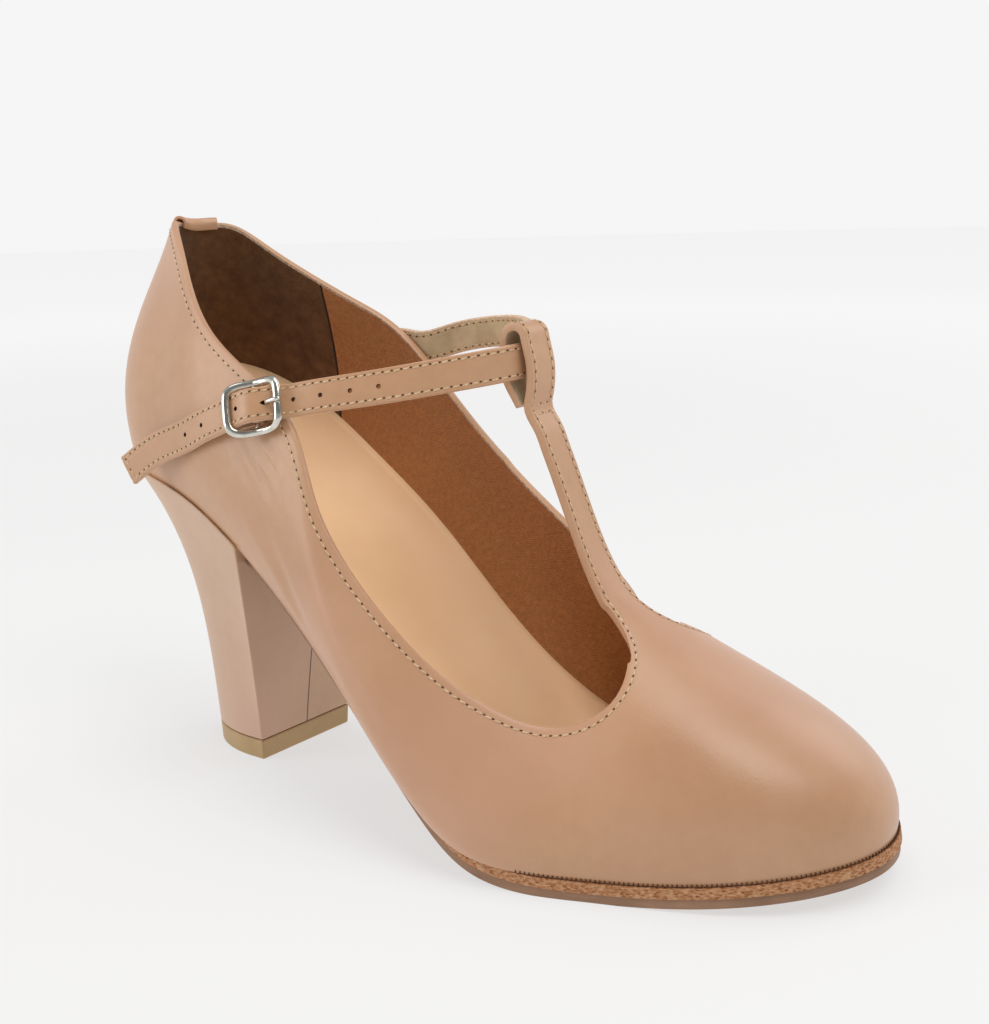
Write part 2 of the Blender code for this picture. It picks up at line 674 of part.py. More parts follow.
def strap_curve(samples):
    """The ankle strap's centre line: free end, outer quarter, buckle, loop, inner quarter."""
    outer, outer_normals = route_points(OUTER_ROUTE)
    inner, inner_normals = route_points(INNER_ROUTE)
    held = LOOP_CENTRE + np.array([LOOP_RADIUS - UPPER_WALL - STRAP_LIFT - FIT_GAP, 0.0, -0.0048])
    under_bar = FRAME_LIFT - (BUCKLE_WIRE + STRAP_THICKNESS) / 2 - 2 * FIT_GAP
    over_bar = BAR_LIFT + WRAP_RADIUS + TAB_THICKNESS / 2 + FIT_GAP + STRAP_THICKNESS / 2
    half_length = (BUCKLE_LENGTH - BUCKLE_WIRE) / 2
    buckled = [at_buckle(along, 0.0, lift) for along, lift in
               ((-half_length, under_bar), (0.0, over_bar), (half_length, under_bar))]
    points = [*outer, *buckled]
    normals = [*outer_normals, *[OUTWARD] * len(buckled)]
    leaving = buckled[-1]
    in_loop = T_STRAP_WIDTH * 0.55
    entering = held + np.array([-0.0003, -in_loop, -0.0002])
    for share in (0.12, 0.3, 0.55, 0.78):
        points.append(leaving + (entering - leaving) * share
                      + np.array([0.4, -0.9, 0.0]) * OUTER_BOW * math.sin(math.pi * share ** 1.3))
        normals.append(OUTWARD * (1 - share) + np.array([0.82, -0.5, 0.15]) * share)
    passing = held + np.array([-0.0003, in_loop, 0.0002])
    points.extend([entering, held, passing])
    normals.extend([np.array([1.0, -0.15, 0.05]), np.array([1.0, 0.0, 0.05]), np.array([1.0, 0.15, 0.05])])
    for share in (0.14, 0.38, 0.62, 0.82):
        bow = math.sin(math.pi * share ** 0.85)
        points.append(passing + (inner[0] - passing) * share + np.array([0.0, INNER_BOW, INNER_ARCH]) * bow)
        normals.append(np.array([0.85, 0.5, 0.15]) * (1 - share) + inner_normals[0] * share)
    points.extend(inner)
    normals.extend(inner_normals)
    points = np.array(points)
    reached = np.concatenate([[0], np.cumsum(np.linalg.norm(np.diff(points, axis=0), axis=1))])
    line = Spline(reached, points)
    lean = Spline(reached, np.array(normals))
    places = np.linspace(0, reached[-1], samples)
    outward = lean(places)
    return line(places), outward / np.linalg.norm(outward, axis=1)[:, None]


def make_ankle_strap():
    """Leather strap with square ends and the long hole that the prong passes."""
    path, outward = strap_curve(88)
    strap = make_piece("ankle_strap", *sweep(path, outward, strap_section(STRAP_WIDTH, STRAP_THICKNESS)),
                       "tan_leather")
    rim = [(PRONG_HOLE + forward * PRONG_HOLE_LENGTH / STRAP_HOLE, across)
           for across, forward in round_section(STRAP_HOLE, 12)]
    low = BAR_LIFT - STRAP_THICKNESS
    high = FRAME_LIFT + 2 * STRAP_THICKNESS
    ends = [np.array([at_buckle(along, across, lift) for along, across in rim]) for lift in (low, high)]
    boolean(strap, make_cutter("prong_hole", *loft(ends)), "DIFFERENCE")
    return strap


def make_buckle_frame():
    """Rounded rectangle of plated wire, bowed over the strap, with its middle bar."""
    half_length = (BUCKLE_LENGTH - BUCKLE_WIRE) / 2
    half_height = (BUCKLE_HEIGHT - BUCKLE_WIRE) / 2
    power = 0.42
    path = []
    for turn in np.arange(36) * 2 * math.pi / 36:
        along = half_length * math.copysign(abs(math.cos(turn)) ** power, math.cos(turn))
        across = half_height * math.copysign(abs(math.sin(turn)) ** power, math.sin(turn))
        lift = BAR_LIFT + (FRAME_LIFT - BAR_LIFT) * (along / half_length) ** 2
        path.append(at_buckle(along, across, lift))
    frame = make_piece("buckle_frame", *sweep(path, np.tile(OUTWARD, (36, 1)), round_section(BUCKLE_WIRE, 8),
                                              closed_path=True), "buckle_plate")
    bar_path = [at_buckle(0.0, across, BAR_LIFT) for across in (-half_height, half_height)]
    bar = make_cutter("middle_bar", *sweep(bar_path, np.tile(OUTWARD, (2, 1)), round_section(BAR_WIRE, 8)))
    boolean(frame, bar, "UNION")
    return frame


def make_buckle_prong():
    """Plated prong, hooked round the middle bar, up through the strap's hole and down on the front bar."""
    eye = (BAR_WIRE + PRONG_WIRE) / 2 + FIT_GAP
    path = []
    for turn in np.radians((170, 200, 230, 260, 290, 320, 350)):
        path.append((eye * math.cos(turn), BAR_LIFT + eye * math.sin(turn)))
    front = (BUCKLE_LENGTH - BUCKLE_WIRE) / 2
    rest = FRAME_LIFT + (BUCKLE_WIRE + PRONG_WIRE) / 2 + FIT_GAP
    path.append((PRONG_HOLE - 0.0014, BAR_LIFT + 0.0003))
    path.append((PRONG_HOLE - 0.0002, BAR_LIFT + 0.0018))
    path.append((PRONG_HOLE + 0.0008, rest - 0.0006))
    path.append((front, rest))
    path.append((front + 0.0011, rest - 0.0002))
    route = Spline(np.arange(len(path)), np.array(path))(np.linspace(0, len(path) - 1, 30))
    points = [at_buckle(along, 0.0, lift) for along, lift in route]
    return make_piece("buckle_prong", *sweep(points, np.tile(ACROSS, (30, 1)), round_section(PRONG_WIRE, 8)),
                      "buckle_plate")


def make_buckle_tab():
    """Short leather tab on the quarter, folded round the middle bar, with a slot for the prong."""
    thickness = TAB_THICKNESS
    flat = BAR_LIFT - WRAP_RADIUS
    wrap = WRAP_RADIUS
    path = [(back, flat + (back + wrap) * math.tan(BUCKLE_TURN)) for back in (-0.0090, -0.0065, -0.0040)]
    for turn in np.radians(range(-90, 106, 15)):
        path.append((wrap * math.cos(turn), BAR_LIFT + wrap * math.sin(turn)))
    points = [at_buckle(along, 0.0, lift) for along, lift in path]
    outward = []
    spots = np.array(path)
    ahead = np.gradient(spots, axis=0)
    for run in ahead:
        outward.append(OUTWARD * run[0] - ALONG * run[1])
    tab = make_piece("buckle_tab", *sweep(points, np.array(outward), strap_section(TAB_WIDTH, thickness)),
                     "tan_leather")
    half_slot = PRONG_WIRE / 2 + 0.0006
    corners = [at_buckle(along, across, lift) for lift in (-0.0010, BAR_LIFT + 0.0030)
               for across in (-half_slot, half_slot) for along in (-0.0026, 0.0030)]
    _, faces = box((0, 0, 0), (1, 1, 1))
    boolean(tab, make_cutter("prong_slot", corners, faces), "DIFFERENCE")
    return tab


def make_heel_tab():
    """Narrow leather tab folded over the topline at the back."""
    count = 9
    half_wall = UPPER_WALL / 2
    reach = half_wall + FIT_GAP + HEEL_TAB_THICKNESS / 2
    rings = []
    widths = np.linspace(-HEEL_TAB_WIDTH / 2, HEEL_TAB_WIDTH / 2, count)
    girth = np.linalg.norm(skin([0.01], 1.0) - skin([0.99], 1.0)) / 0.02
    arc = np.linspace(0, math.pi, 7)
    profile = [(reach, -HEEL_TAB_DROP), (reach, -HEEL_TAB_DROP * 0.5)]
    profile += [(reach * math.cos(turn), reach * 0.75 * math.sin(turn) + FIT_GAP * 0.5) for turn in arc]
    profile += [(-reach, -HEEL_TAB_DROP * 0.5), (-reach, -HEEL_TAB_DROP)]
    profile = np.array(profile)
    ahead = np.gradient(profile, axis=0)
    ahead /= np.linalg.norm(ahead, axis=1)[:, None]
    side = np.column_stack([ahead[:, 1], -ahead[:, 0]]) * HEEL_TAB_THICKNESS / 2
    ring = np.vstack([profile - side, (profile + side)[::-1]])
    for width in widths:
        place = width / girth
        edge = skin([place], 1.0)[0]
        below = skin([place], 0.99)[0]
        out = skin_normal([place], 1.0)[0]
        rise = (edge - below) / np.linalg.norm(edge - below)
        middle = edge - out * half_wall
        rings.append(middle + ring[:, :1] * out + ring[:, 1:] * rise)
    return make_piece("heel_tab", *loft(rings), "tan_leather")


def clear_scene():
    """Start from an empty scene."""
    for thing in list(bpy.data.objects):
        bpy.data.objects.remove(thing, do_unlink=True)


def main():
    """Build every piece of the shoe."""
    clear_scene()
    make_upper()
    make_heel_tab()
    make_ankle_strap()
    make_buckle_tab()
    make_buckle_frame()
    make_buckle_prong()
    make_insole()
    make_midsole()
    make_outsole()
    make_heel()
    make_top_piece()


main()
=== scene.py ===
# %% [markdown]
# # A tan character shoe, dressed piece by piece
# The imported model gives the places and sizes. Each cell below rebuilds one piece of the shoe finer than the
# solid it stands for, and gives it its leather, cloth, thread or metal.

# %% Load the frame
import math

import bmesh
import bpy
import numpy as np
from mathutils import Matrix, Vector
from mathutils.bvhtree import BVHTree


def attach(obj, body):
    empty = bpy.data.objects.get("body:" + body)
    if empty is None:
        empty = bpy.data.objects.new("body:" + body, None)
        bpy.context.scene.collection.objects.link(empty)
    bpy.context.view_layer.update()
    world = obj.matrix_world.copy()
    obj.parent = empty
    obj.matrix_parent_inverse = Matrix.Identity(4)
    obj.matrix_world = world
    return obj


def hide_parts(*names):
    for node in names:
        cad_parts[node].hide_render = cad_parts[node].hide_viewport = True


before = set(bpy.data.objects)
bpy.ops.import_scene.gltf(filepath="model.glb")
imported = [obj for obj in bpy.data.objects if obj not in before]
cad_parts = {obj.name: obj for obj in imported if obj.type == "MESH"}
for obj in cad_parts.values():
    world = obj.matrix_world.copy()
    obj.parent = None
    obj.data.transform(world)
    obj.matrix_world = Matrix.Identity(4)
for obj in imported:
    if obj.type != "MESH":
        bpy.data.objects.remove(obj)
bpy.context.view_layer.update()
print("frame nodes:", sorted(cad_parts))

# %% [markdown]
# The camera stands where the photograph was taken from: a little over the shoe, on the buckle side, looking
# at the toe three-quarters on. Its place, turn and lens were solved once from the shoe's outlines.
# The width of the frame carries the lens, so the sensor is fitted horizontally.

# %% Camera
CAMERA_PLACE = Vector((0.2735, -0.2552, 0.1417))
CAMERA_AIM = (37.14, 12.39)
CAMERA_ROLL = -1.62
FOCAL_PIXELS = 1394.31
PHOTO_WIDTH = 989


def camera_turn(azimuth, elevation, roll):
    """Right, up and back directions of a camera as one rotation."""
    back = Vector((math.sin(azimuth) * math.cos(elevation), -math.cos(azimuth) * math.cos(elevation),
                   math.sin(elevation)))
    right = (-back).cross(Vector((0, 0, 1))).normalized()
    up = right.cross(-back)
    rolled_right = right * math.cos(roll) + up * math.sin(roll)
    rolled_up = up * math.cos(roll) - right * math.sin(roll)
    return Matrix((rolled_right, rolled_up, back)).transposed().to_4x4()


lens = bpy.data.cameras.new("photo_camera")
lens.sensor_fit = "HORIZONTAL"
lens.sensor_width = 36.0
lens.lens = FOCAL_PIXELS * lens.sensor_width / PHOTO_WIDTH
lens.clip_start = 0.01
camera = bpy.data.objects.new("photo_camera", lens)
turn = camera_turn(*[math.radians(angle) for angle in (*CAMERA_AIM, CAMERA_ROLL)])
camera.matrix_world = Matrix.Translation(CAMERA_PLACE) @ turn
bpy.context.collection.objects.link(camera)
bpy.context.scene.camera = camera
print("camera lens", round(lens.lens, 2), "mm")

# %% [markdown]
# A photographer's light tent: a pale floor that glows a little, as a lit-through sheet does, and more where
# the lamps reach it less; pale walls that are brighter than the roof and darker on the open side, towards the
# front; and four soft lamps. One of them stands high in front, so that the sock and the lining are lit through
# the opening while the heel's breast stays in the shade of the sole.

# %% Floor and light
FLOOR_RADIUS = 6.0
FLOOR_GLOW_NEAR = 0.605
FLOOR_GLOW_FAR = 0.775
LAMPLIT_REACH = (0.25, 1.70)
WALL_BRIGHTNESS = 0.918
ROOF_BRIGHTNESS = 0.42
OPEN_SIDE = (0.62, -0.78, 0.0)
OPEN_SIDE_SHARE = 0.50


def plain_material(name, colour, roughness):
    """A surface of one finish, used for the floor alone."""
    made = bpy.data.materials.new(name)
    made.use_nodes = True
    shader = made.node_tree.nodes["Principled BSDF"]
    shader.inputs["Base Color"].default_value = (*colour, 1.0)
    shader.inputs["Roughness"].default_value = roughness
    shader.inputs["Specular IOR Level"].default_value = 0.0
    shader.inputs["Emission Color"].default_value = (1.0, 1.0, 1.0, 1.0)
    place = made.node_tree.nodes.new("ShaderNodeTexCoord")
    away = made.node_tree.nodes.new("ShaderNodeVectorMath")
    away.operation = "LENGTH"
    made.node_tree.links.new(place.outputs["Object"], away.inputs[0])
    glow = made.node_tree.nodes.new("ShaderNodeMapRange")
    glow.interpolation_type = "SMOOTHSTEP"
    glow.inputs["From Min"].default_value, glow.inputs["From Max"].default_value = LAMPLIT_REACH
    glow.inputs["To Min"].default_value = FLOOR_GLOW_NEAR
    glow.inputs["To Max"].default_value = FLOOR_GLOW_FAR
    made.node_tree.links.new(away.outputs["Value"], glow.inputs["Value"])
    made.node_tree.links.new(glow.outputs["Result"], shader.inputs["Emission Strength"])
    return made


def finished(name, shape):
    """The object of a finished bmesh, at the origin, smooth shaded."""
    mesh = bpy.data.meshes.new(name)
    shape.to_mesh(mesh)
    shape.free()
    mesh.shade_smooth()
    made = bpy.data.objects.new(name, mesh)
    bpy.context.collection.objects.link(made)
    return made


disc = bmesh.new()
bmesh.ops.create_circle(disc, cap_ends=True, radius=FLOOR_RADIUS, segments=96)
floor = finished("floor", disc)
floor.data.materials.append(plain_material("pale_floor", (0.30, 0.30, 0.30), 0.8))


def soft_lamp(name, place, size, power, colour):
    """A square soft lamp that looks at the shoe."""
    lamp = bpy.data.lights.new(name, "AREA")
    lamp.shape = "RECTANGLE"
    lamp.size, lamp.size_y = size
    lamp.energy = power
    lamp.color = colour
    hung = bpy.data.objects.new(name, lamp)
    hung.location = place
    aim = Vector((0.06, 0.0, 0.05)) - Vector(place)
    hung.rotation_euler = aim.to_track_quat("-Z", "Y").to_euler()
    bpy.context.collection.objects.link(hung)


LAMPS = (
    ("top_lamp", (0.05, 0.05, 1.30), (0.9, 0.9), 5.2, (1.0, 0.99, 0.97)),
    ("high_front_lamp", (0.70, -0.15, 1.05), (0.6, 0.6), 4.4, (1.0, 0.99, 0.97)),
    ("buckle_side_lamp", (-0.85, -1.00, 0.55), (0.7, 0.9), 5.6, (1.0, 0.99, 0.98)),
    ("inner_side_lamp", (0.45, 1.05, 0.75), (0.7, 0.7), 2.0, (0.98, 0.99, 1.0)),
)
for lamp_row in LAMPS:
    soft_lamp(*lamp_row)
surround = bpy.data.worlds.new("surround")
surround.use_nodes = True
sky = surround.node_tree
sky.nodes["Background"].inputs["Color"].default_value = (1.0, 1.0, 1.0, 1.0)
direction = sky.nodes.new("ShaderNodeTexCoord")
split_direction = sky.nodes.new("ShaderNodeSeparateXYZ")
sky.links.new(direction.outputs["Generated"], split_direction.inputs["Vector"])
overhead = sky.nodes.new("ShaderNodeMapRange")
overhead.interpolation_type = "SMOOTHSTEP"
overhead.inputs["From Min"].default_value = 0.20
overhead.inputs["From Max"].default_value = 0.50
overhead.inputs["To Min"].default_value = WALL_BRIGHTNESS
overhead.inputs["To Max"].default_value = ROOF_BRIGHTNESS
sky.links.new(split_direction.outputs["Z"], overhead.inputs["Value"])
towards_open = sky.nodes.new("ShaderNodeVectorMath")
towards_open.operation = "DOT_PRODUCT"
sky.links.new(direction.outputs["Generated"], towards_open.inputs[0])
towards_open.inputs[1].default_value = OPEN_SIDE
opened = sky.nodes.new("ShaderNodeMapRange")
opened.interpolation_type = "SMOOTHSTEP"
opened.inputs["From Min"].default_value = -0.10
opened.inputs["From Max"].default_value = 0.50
opened.inputs["To Min"].default_value = 1.0
opened.inputs["To Max"].default_value = OPEN_SIDE_SHARE
sky.links.new(towards_open.outputs["Value"], opened.inputs["Value"])
brightness = sky.nodes.new("ShaderNodeMath")
brightness.operation = "MULTIPLY"
sky.links.new(overhead.outputs["Result"], brightness.inputs[0])
sky.links.new(opened.outputs["Result"], brightness.inputs[1])
sky.links.new(brightness.outputs[0], sky.nodes["Background"].inputs["Strength"])
bpy.context.scene.world = surround
bpy.context.scene.view_settings.view_transform = "Standard"
print("lamps:", len(LAMPS))

# %% [markdown]
# Materials are small node trees. One helper starts a finish and hands back a pen that adds nodes and joins
# them, so that each finish below reads as a short list of what the surface has: tone, grain and gloss.
# Colour varies by slow noise, the grain and pores are bump, and the gloss is roughness and coat.


# %% A pen for node trees
class Finish:
    """One material and a short way to write its nodes."""

    def __init__(self, name, colour, roughness):
        self.material = bpy.data.materials.new(name)
        self.material.use_nodes = True
        self.tree = self.material.node_tree
        self.shader = self.tree.nodes["Principled BSDF"]
        self.shader.inputs["Base Color"].default_value = (*colour, 1.0)
        self.shader.inputs["Roughness"].default_value = roughness
        self.material.diffuse_color = (*colour, 1.0)

    def node(self, kind, **settings):
        """A node with its settings."""
        made = self.tree.nodes.new(kind)
        for key, value in settings.items():
            if key in made.inputs:
                made.inputs[key].default_value = value
            else:
                setattr(made, key, value)
        return made

    def link(self, out, into):
        """Joins two sockets."""
        self.tree.links.new(out, into)

    def place(self, uv=None, scale=(1, 1, 1), turn=0.0):
        """Object coordinates, or a UV map's, through a Mapping node."""
        if uv:
            source = self.node("ShaderNodeUVMap", uv_map=uv).outputs["UV"]
        else:
            source = self.node("ShaderNodeTexCoord").outputs["Object"]
        mapping = self.node("ShaderNodeMapping")
        mapping.inputs["Scale"].default_value = scale
        mapping.inputs["Rotation"].default_value = (0, 0, turn)
        self.link(source, mapping.inputs["Vector"])
        return mapping.outputs["Vector"]

    def noise(self, scale, detail=3.0, roughness=0.5, place=None):
        """A noise value."""
        made = self.node("ShaderNodeTexNoise")
        made.inputs["Scale"].default_value = scale
        made.inputs["Detail"].default_value = detail
        made.inputs["Roughness"].default_value = roughness
        self.link(place if place else self.place(), made.inputs["Vector"])
        return made.outputs["Fac"]

    def cells(self, scale, place=None, feature="F1"):
        """A Voronoi distance."""
        made = self.node("ShaderNodeTexVoronoi", feature=feature)
        made.inputs["Scale"].default_value = scale
        self.link(place if place else self.place(), made.inputs["Vector"])
        return made.outputs["Distance"]

    def waves(self, scale, distortion=0.0, place=None, direction="X"):
        """Parallel bands."""
        made = self.node("ShaderNodeTexWave", bands_direction=direction)
        made.inputs["Scale"].default_value = scale
        made.inputs["Distortion"].default_value = distortion
        made.inputs["Detail"].default_value = 1.0
        self.link(place if place else self.place(), made.inputs["Vector"])
        return made.outputs["Fac"]

    def ramp(self, value, stops):
        """Colours at shares of a value."""
        made = self.node("ShaderNodeValToRGB")
        band = made.color_ramp
        for index, (share, colour) in enumerate(stops):
            stop = band.elements[index] if index < 2 else band.elements.new(share)
            stop.position = share
            stop.color = (*colour, 1.0)
        self.link(value, made.inputs["Fac"])
        return made.outputs["Color"]

    def sums(self, *pairs):
        """A weighted sum of values."""
        total = None
        for value, weight in pairs:
            part = self.node("ShaderNodeMath", operation="MULTIPLY_ADD")
            self.link(value, part.inputs[0])
            part.inputs[1].default_value = weight
            if total:
                self.link(total, part.inputs[2])
            else:
                part.inputs[2].default_value = 0.0
            total = part.outputs[0]
        return total

    def maths(self, operation, value, number):
        """One sum with a value and a number, or with two values."""
        made = self.node("ShaderNodeMath", operation=operation)
        self.link(value, made.inputs[0])
        if isinstance(number, (int, float)):
            made.inputs[1].default_value = number
        else:
            self.link(number, made.inputs[1])
        return made.outputs[0]

    def mixed(self, share, first, second):
        """One colour below, another where the share is one."""
        made = self.node("ShaderNodeMix", data_type="RGBA")
        self.link(share, made.inputs[0])
        self.link(first, made.inputs[6])
        self.link(second, made.inputs[7])
        return made.outputs[2]

    def parts(self, place):
        """The X, Y and Z of a place."""
        made = self.node("ShaderNodeSeparateXYZ")
        self.link(place, made.inputs["Vector"])
        return made.outputs["X"], made.outputs["Y"], made.outputs["Z"]

    def colour(self, out):
        """Feeds the base colour."""
        self.link(out, self.shader.inputs["Base Color"])

    def relief(self, value, height, strength=1.0):
        """Bump of a height in metres."""
        bump = self.node("ShaderNodeBump")
        bump.inputs["Distance"].default_value = height
        bump.inputs["Strength"].default_value = strength
        self.link(value, bump.inputs["Height"])
        self.link(bump.outputs["Normal"], self.shader.inputs["Normal"])

    def gloss(self, value, low, high):
        """Roughness that follows a value."""
        made = self.node("ShaderNodeMapRange")
        made.inputs["To Min"].default_value = low
        made.inputs["To Max"].default_value = high
        self.link(value, made.inputs["Value"])
        self.link(made.outputs["Result"], self.shader.inputs["Roughness"])

    def fixed(self, **sockets):
        """Constants set on the shader's own sockets."""
        for key, value in sockets.items():
            self.shader.inputs[key.replace("_", " ")].default_value = value
        return self.material


print("the pen has", len([name for name in dir(Finish) if name[0] != "_"]), "strokes")

# %% [markdown]
# The upper is smooth full-grain leather dyed tan: warm, slightly pink, with a soft sheen from its dressing,
# and pores so fine that only the gloss shows them. The heel is wrapped in the same leather, a shade greyer.


# %% Leathers
BREAST_SEAM = 0.00022
BREAST_SEAM_REAR = 0.005


def smooth_leather(name, light, dark, roughness, seamed=False):
    """Dyed and dressed leather: slow cloudy tone, fine pores, faint wrinkles; a seam down the heel's breast."""
    finish = Finish(name, light, roughness)
    cloud = finish.noise(26.0, 4.0, 0.55)
    mottling = finish.noise(310.0, 3.0, 0.6)
    tone = finish.ramp(finish.sums((cloud, 0.7), (mottling, 0.3)), ((0.34, dark), (0.62, light)))
    flush = finish.noise(15.0, 2.0, 0.5)
    pinker = finish.ramp(cloud, ((0.30, (dark[0] * 1.01, dark[1] * 0.99, dark[2] * 1.08)),
                                 (0.66, (light[0] * 1.01, light[1] * 0.99, light[2] * 1.08))))
    warmth = finish.node("ShaderNodeMapRange")
    finish.link(flush, warmth.inputs["Value"])
    warmth.inputs["From Min"].default_value = 0.42
    warmth.inputs["From Max"].default_value = 0.62
    tone = finish.mixed(warmth.outputs["Result"], tone, pinker)
    pores = finish.cells(1500.0)
    grain = finish.noise(900.0, 4.0, 0.65)
    wrinkles = finish.noise(130.0, 3.0, 0.5)
    heights = [(pores, 0.35), (grain, 0.4), (wrinkles, 0.9)]
    if seamed:
        x, y, _ = finish.parts(finish.place())
        beside = finish.maths("LESS_THAN", finish.maths("ABSOLUTE", y, 0.0), BREAST_SEAM)
        seam = finish.maths("MULTIPLY", beside, finish.maths("GREATER_THAN", x, BREAST_SEAM_REAR))
        shade = finish.ramp(mottling, ((0.0, (0.10, 0.052, 0.030)), (1.0, (0.15, 0.080, 0.048))))
        tone = finish.mixed(seam, tone, shade)
        heights.append((seam, -2.5))
    finish.colour(tone)
    finish.relief(finish.sums(*heights), 0.00012, 0.55)
    finish.gloss(cloud, roughness - 0.06, roughness + 0.10)
    return finish.fixed(Specular_IOR_Level=0.5, Coat_Weight=0.20, Coat_Roughness=0.28)


TAN_LEATHER = smooth_leather("tan_leather", (0.590, 0.335, 0.188), (0.520, 0.282, 0.148), 0.36)
HEEL_LEATHER = smooth_leather("heel_leather", (0.610, 0.395, 0.255), (0.545, 0.335, 0.205), 0.42, True)


def edge_leather():
    """The pale cut edge of the leather and its backing."""
    finish = Finish("cut_edge", (0.74, 0.52, 0.36), 0.8)
    fibres = finish.noise(1400.0, 5.0, 0.7)
    finish.colour(finish.ramp(fibres, ((0.30, (0.55, 0.34, 0.21)), (0.60, (0.80, 0.60, 0.44)))))
    finish.relief(fibres, 0.00015, 0.8)
    return finish.fixed(Specular_IOR_Level=0.2)


CUT_EDGE = edge_leather()


def pale_backing():
    """Pale beige backing leather under the straps."""
    finish = Finish("strap_backing", (0.62, 0.50, 0.31), 0.6)
    cloud = finish.noise(120.0, 4.0, 0.6)
    finish.colour(finish.ramp(cloud, ((0.32, (0.50, 0.38, 0.23)), (0.64, (0.68, 0.55, 0.35)))))
    finish.relief(finish.noise(1300.0, 4.0, 0.6), 0.0001, 0.5)
    return finish.fixed(Specular_IOR_Level=0.3)


STRAP_BACKING = pale_backing()
print("leathers:", TAN_LEATHER.name, HEEL_LEATHER.name, CUT_EDGE.name, STRAP_BACKING.name)

# %% [markdown]
# Inside, the heel is lined with dark brown suede that grips the foot, and the sides and front with rust-brown
# twill. Both lie on the same inner wall, so one material holds both: the upper's own UV map, in metres round
# and down from the topline, says which cloth is where and carries the twill's ribs and the seam between. Along
# the topline the cloth's raw edge shows as a thin pale line, and above it the strap has its pale backing.


# %% Lining
PALE_EDGE = 0.0010
STRAP_START = -0.0030
SEAM_HALF = 0.0004


def lining_finish(seam_outer, seam_inner):
    """Suede round the heel between two seams, twill elsewhere, raw pale edge at the top, backing on the strap."""
    finish = Finish("lining", (0.25, 0.09, 0.03), 0.9)
    round_the_shoe, down, _ = finish.parts(finish.place(uv="round"))
    at_the_heel = finish.maths("MULTIPLY", finish.maths("GREATER_THAN", round_the_shoe, seam_inner),
                               finish.maths("LESS_THAN", round_the_shoe, seam_outer))
    ribs_seen = finish.waves(860.0, 0.5, finish.place(uv="round", turn=math.radians(38)))
    weft = finish.waves(1150.0, 0.6, finish.place(uv="round", turn=math.radians(-52)))
    thread_tone = finish.noise(1000.0, 4.0, 0.7)
    twill = finish.ramp(finish.sums((ribs_seen, 0.20), (weft, 0.18), (thread_tone, 0.62)),
                        ((0.25, (0.370, 0.138, 0.044)), (0.75, (0.720, 0.315, 0.116))))
    nap = finish.noise(240.0, 5.0, 0.7)
    suede = finish.ramp(nap, ((0.30, (0.120, 0.050, 0.017)), (0.68, (0.220, 0.108, 0.042))))
    cloths = finish.mixed(at_the_heel, twill, suede)
    off_outer = finish.maths("ABSOLUTE", finish.maths("SUBTRACT", round_the_shoe, seam_outer), 0.0)
    off_inner = finish.maths("ABSOLUTE", finish.maths("SUBTRACT", round_the_shoe, seam_inner), 0.0)
    seam = finish.maths("LESS_THAN", finish.maths("MINIMUM", off_outer, off_inner), SEAM_HALF)
    dark = finish.ramp(nap, ((0.0, (0.030, 0.012, 0.005)), (1.0, (0.060, 0.026, 0.012))))
    sewn_cloths = finish.mixed(seam, cloths, dark)
    fuzz = finish.noise(1500.0, 4.0, 0.7)
    raw = finish.ramp(fuzz, ((0.35, (0.50, 0.30, 0.18)), (0.60, (0.80, 0.62, 0.46))))
    frayed = finish.maths("SUBTRACT", down, finish.maths("MULTIPLY", fuzz, 0.0006))
    edged = finish.mixed(finish.maths("LESS_THAN", frayed, PALE_EDGE - 0.0003), sewn_cloths, raw)
    cloud = finish.noise(120.0, 4.0, 0.6)
    backing = finish.ramp(cloud, ((0.32, (0.50, 0.36, 0.22)), (0.64, (0.66, 0.50, 0.32))))
    finish.colour(finish.mixed(finish.maths("LESS_THAN", down, STRAP_START), edged, backing))
    finish.relief(finish.sums((ribs_seen, 0.6), (weft, 0.4), (nap, 0.5), (seam, -2.0)), 0.00025, 0.7)
    return finish.fixed(Specular_IOR_Level=0.12, Sheen_Weight=0.15, Sheen_Roughness=0.5)


print("the lining waits for the upper's seams")

# %% [markdown]
# The remaining finishes: the smooth peach sock, the rust-red fibrous edge of the middle layer with painted
# shade in its hollows, the smooth taupe lower layer, the olive-brown plastic of the top piece, bright nickel
# plate, waxed thread, and a dark brown that is painted shade for the holes and the colour of the sole's dark ticks.


# %% Sock, soles, plastic, plate and thread
def sock_finish():
    """Smooth peach leather, nearly even, with a dull sheen."""
    finish = Finish("sock_leather", (0.90, 0.58, 0.34), 0.5)
    cloud = finish.noise(34.0, 4.0, 0.5)
    finish.colour(finish.ramp(cloud, ((0.30, (0.900, 0.570, 0.315)), (0.66, (0.960, 0.645, 0.380)))))
    finish.relief(finish.sums((finish.noise(700.0, 4.0, 0.6), 0.7), (finish.cells(1200.0), 0.3)), 0.0001, 0.5)
    finish.gloss(cloud, 0.44, 0.58)
    return finish.fixed(Specular_IOR_Level=0.35)


def fibre_finish():
    """Pressed leather fibres with short streaks along the edge; where the bump sinks the colour darkens, partly the
    fibres' own tone and partly painted shade in the hollows.
    """
    finish = Finish("fibrous_edge", (0.40, 0.19, 0.09), 0.85)
    streaks = finish.noise(2600.0, 6.0, 0.75, finish.place(scale=(0.45, 0.45, 1.5)))
    pits_with_painted_shade = finish.cells(1500.0, finish.place(scale=(0.6, 0.6, 1.2)))
    mixed = finish.sums((streaks, 0.80), (pits_with_painted_shade, 0.30))
    # the ramp darkens what the bump lowers: the fibres' own tone, and painted shade in the hollows
    finish.colour(finish.ramp(mixed, ((0.36, (0.15, 0.050, 0.018)), (0.50, (0.47, 0.200, 0.085)),
                                      (0.68, (0.66, 0.390, 0.220)))))
    finish.relief(mixed, 0.0004, 0.9)
    return finish.fixed(Specular_IOR_Level=0.2)


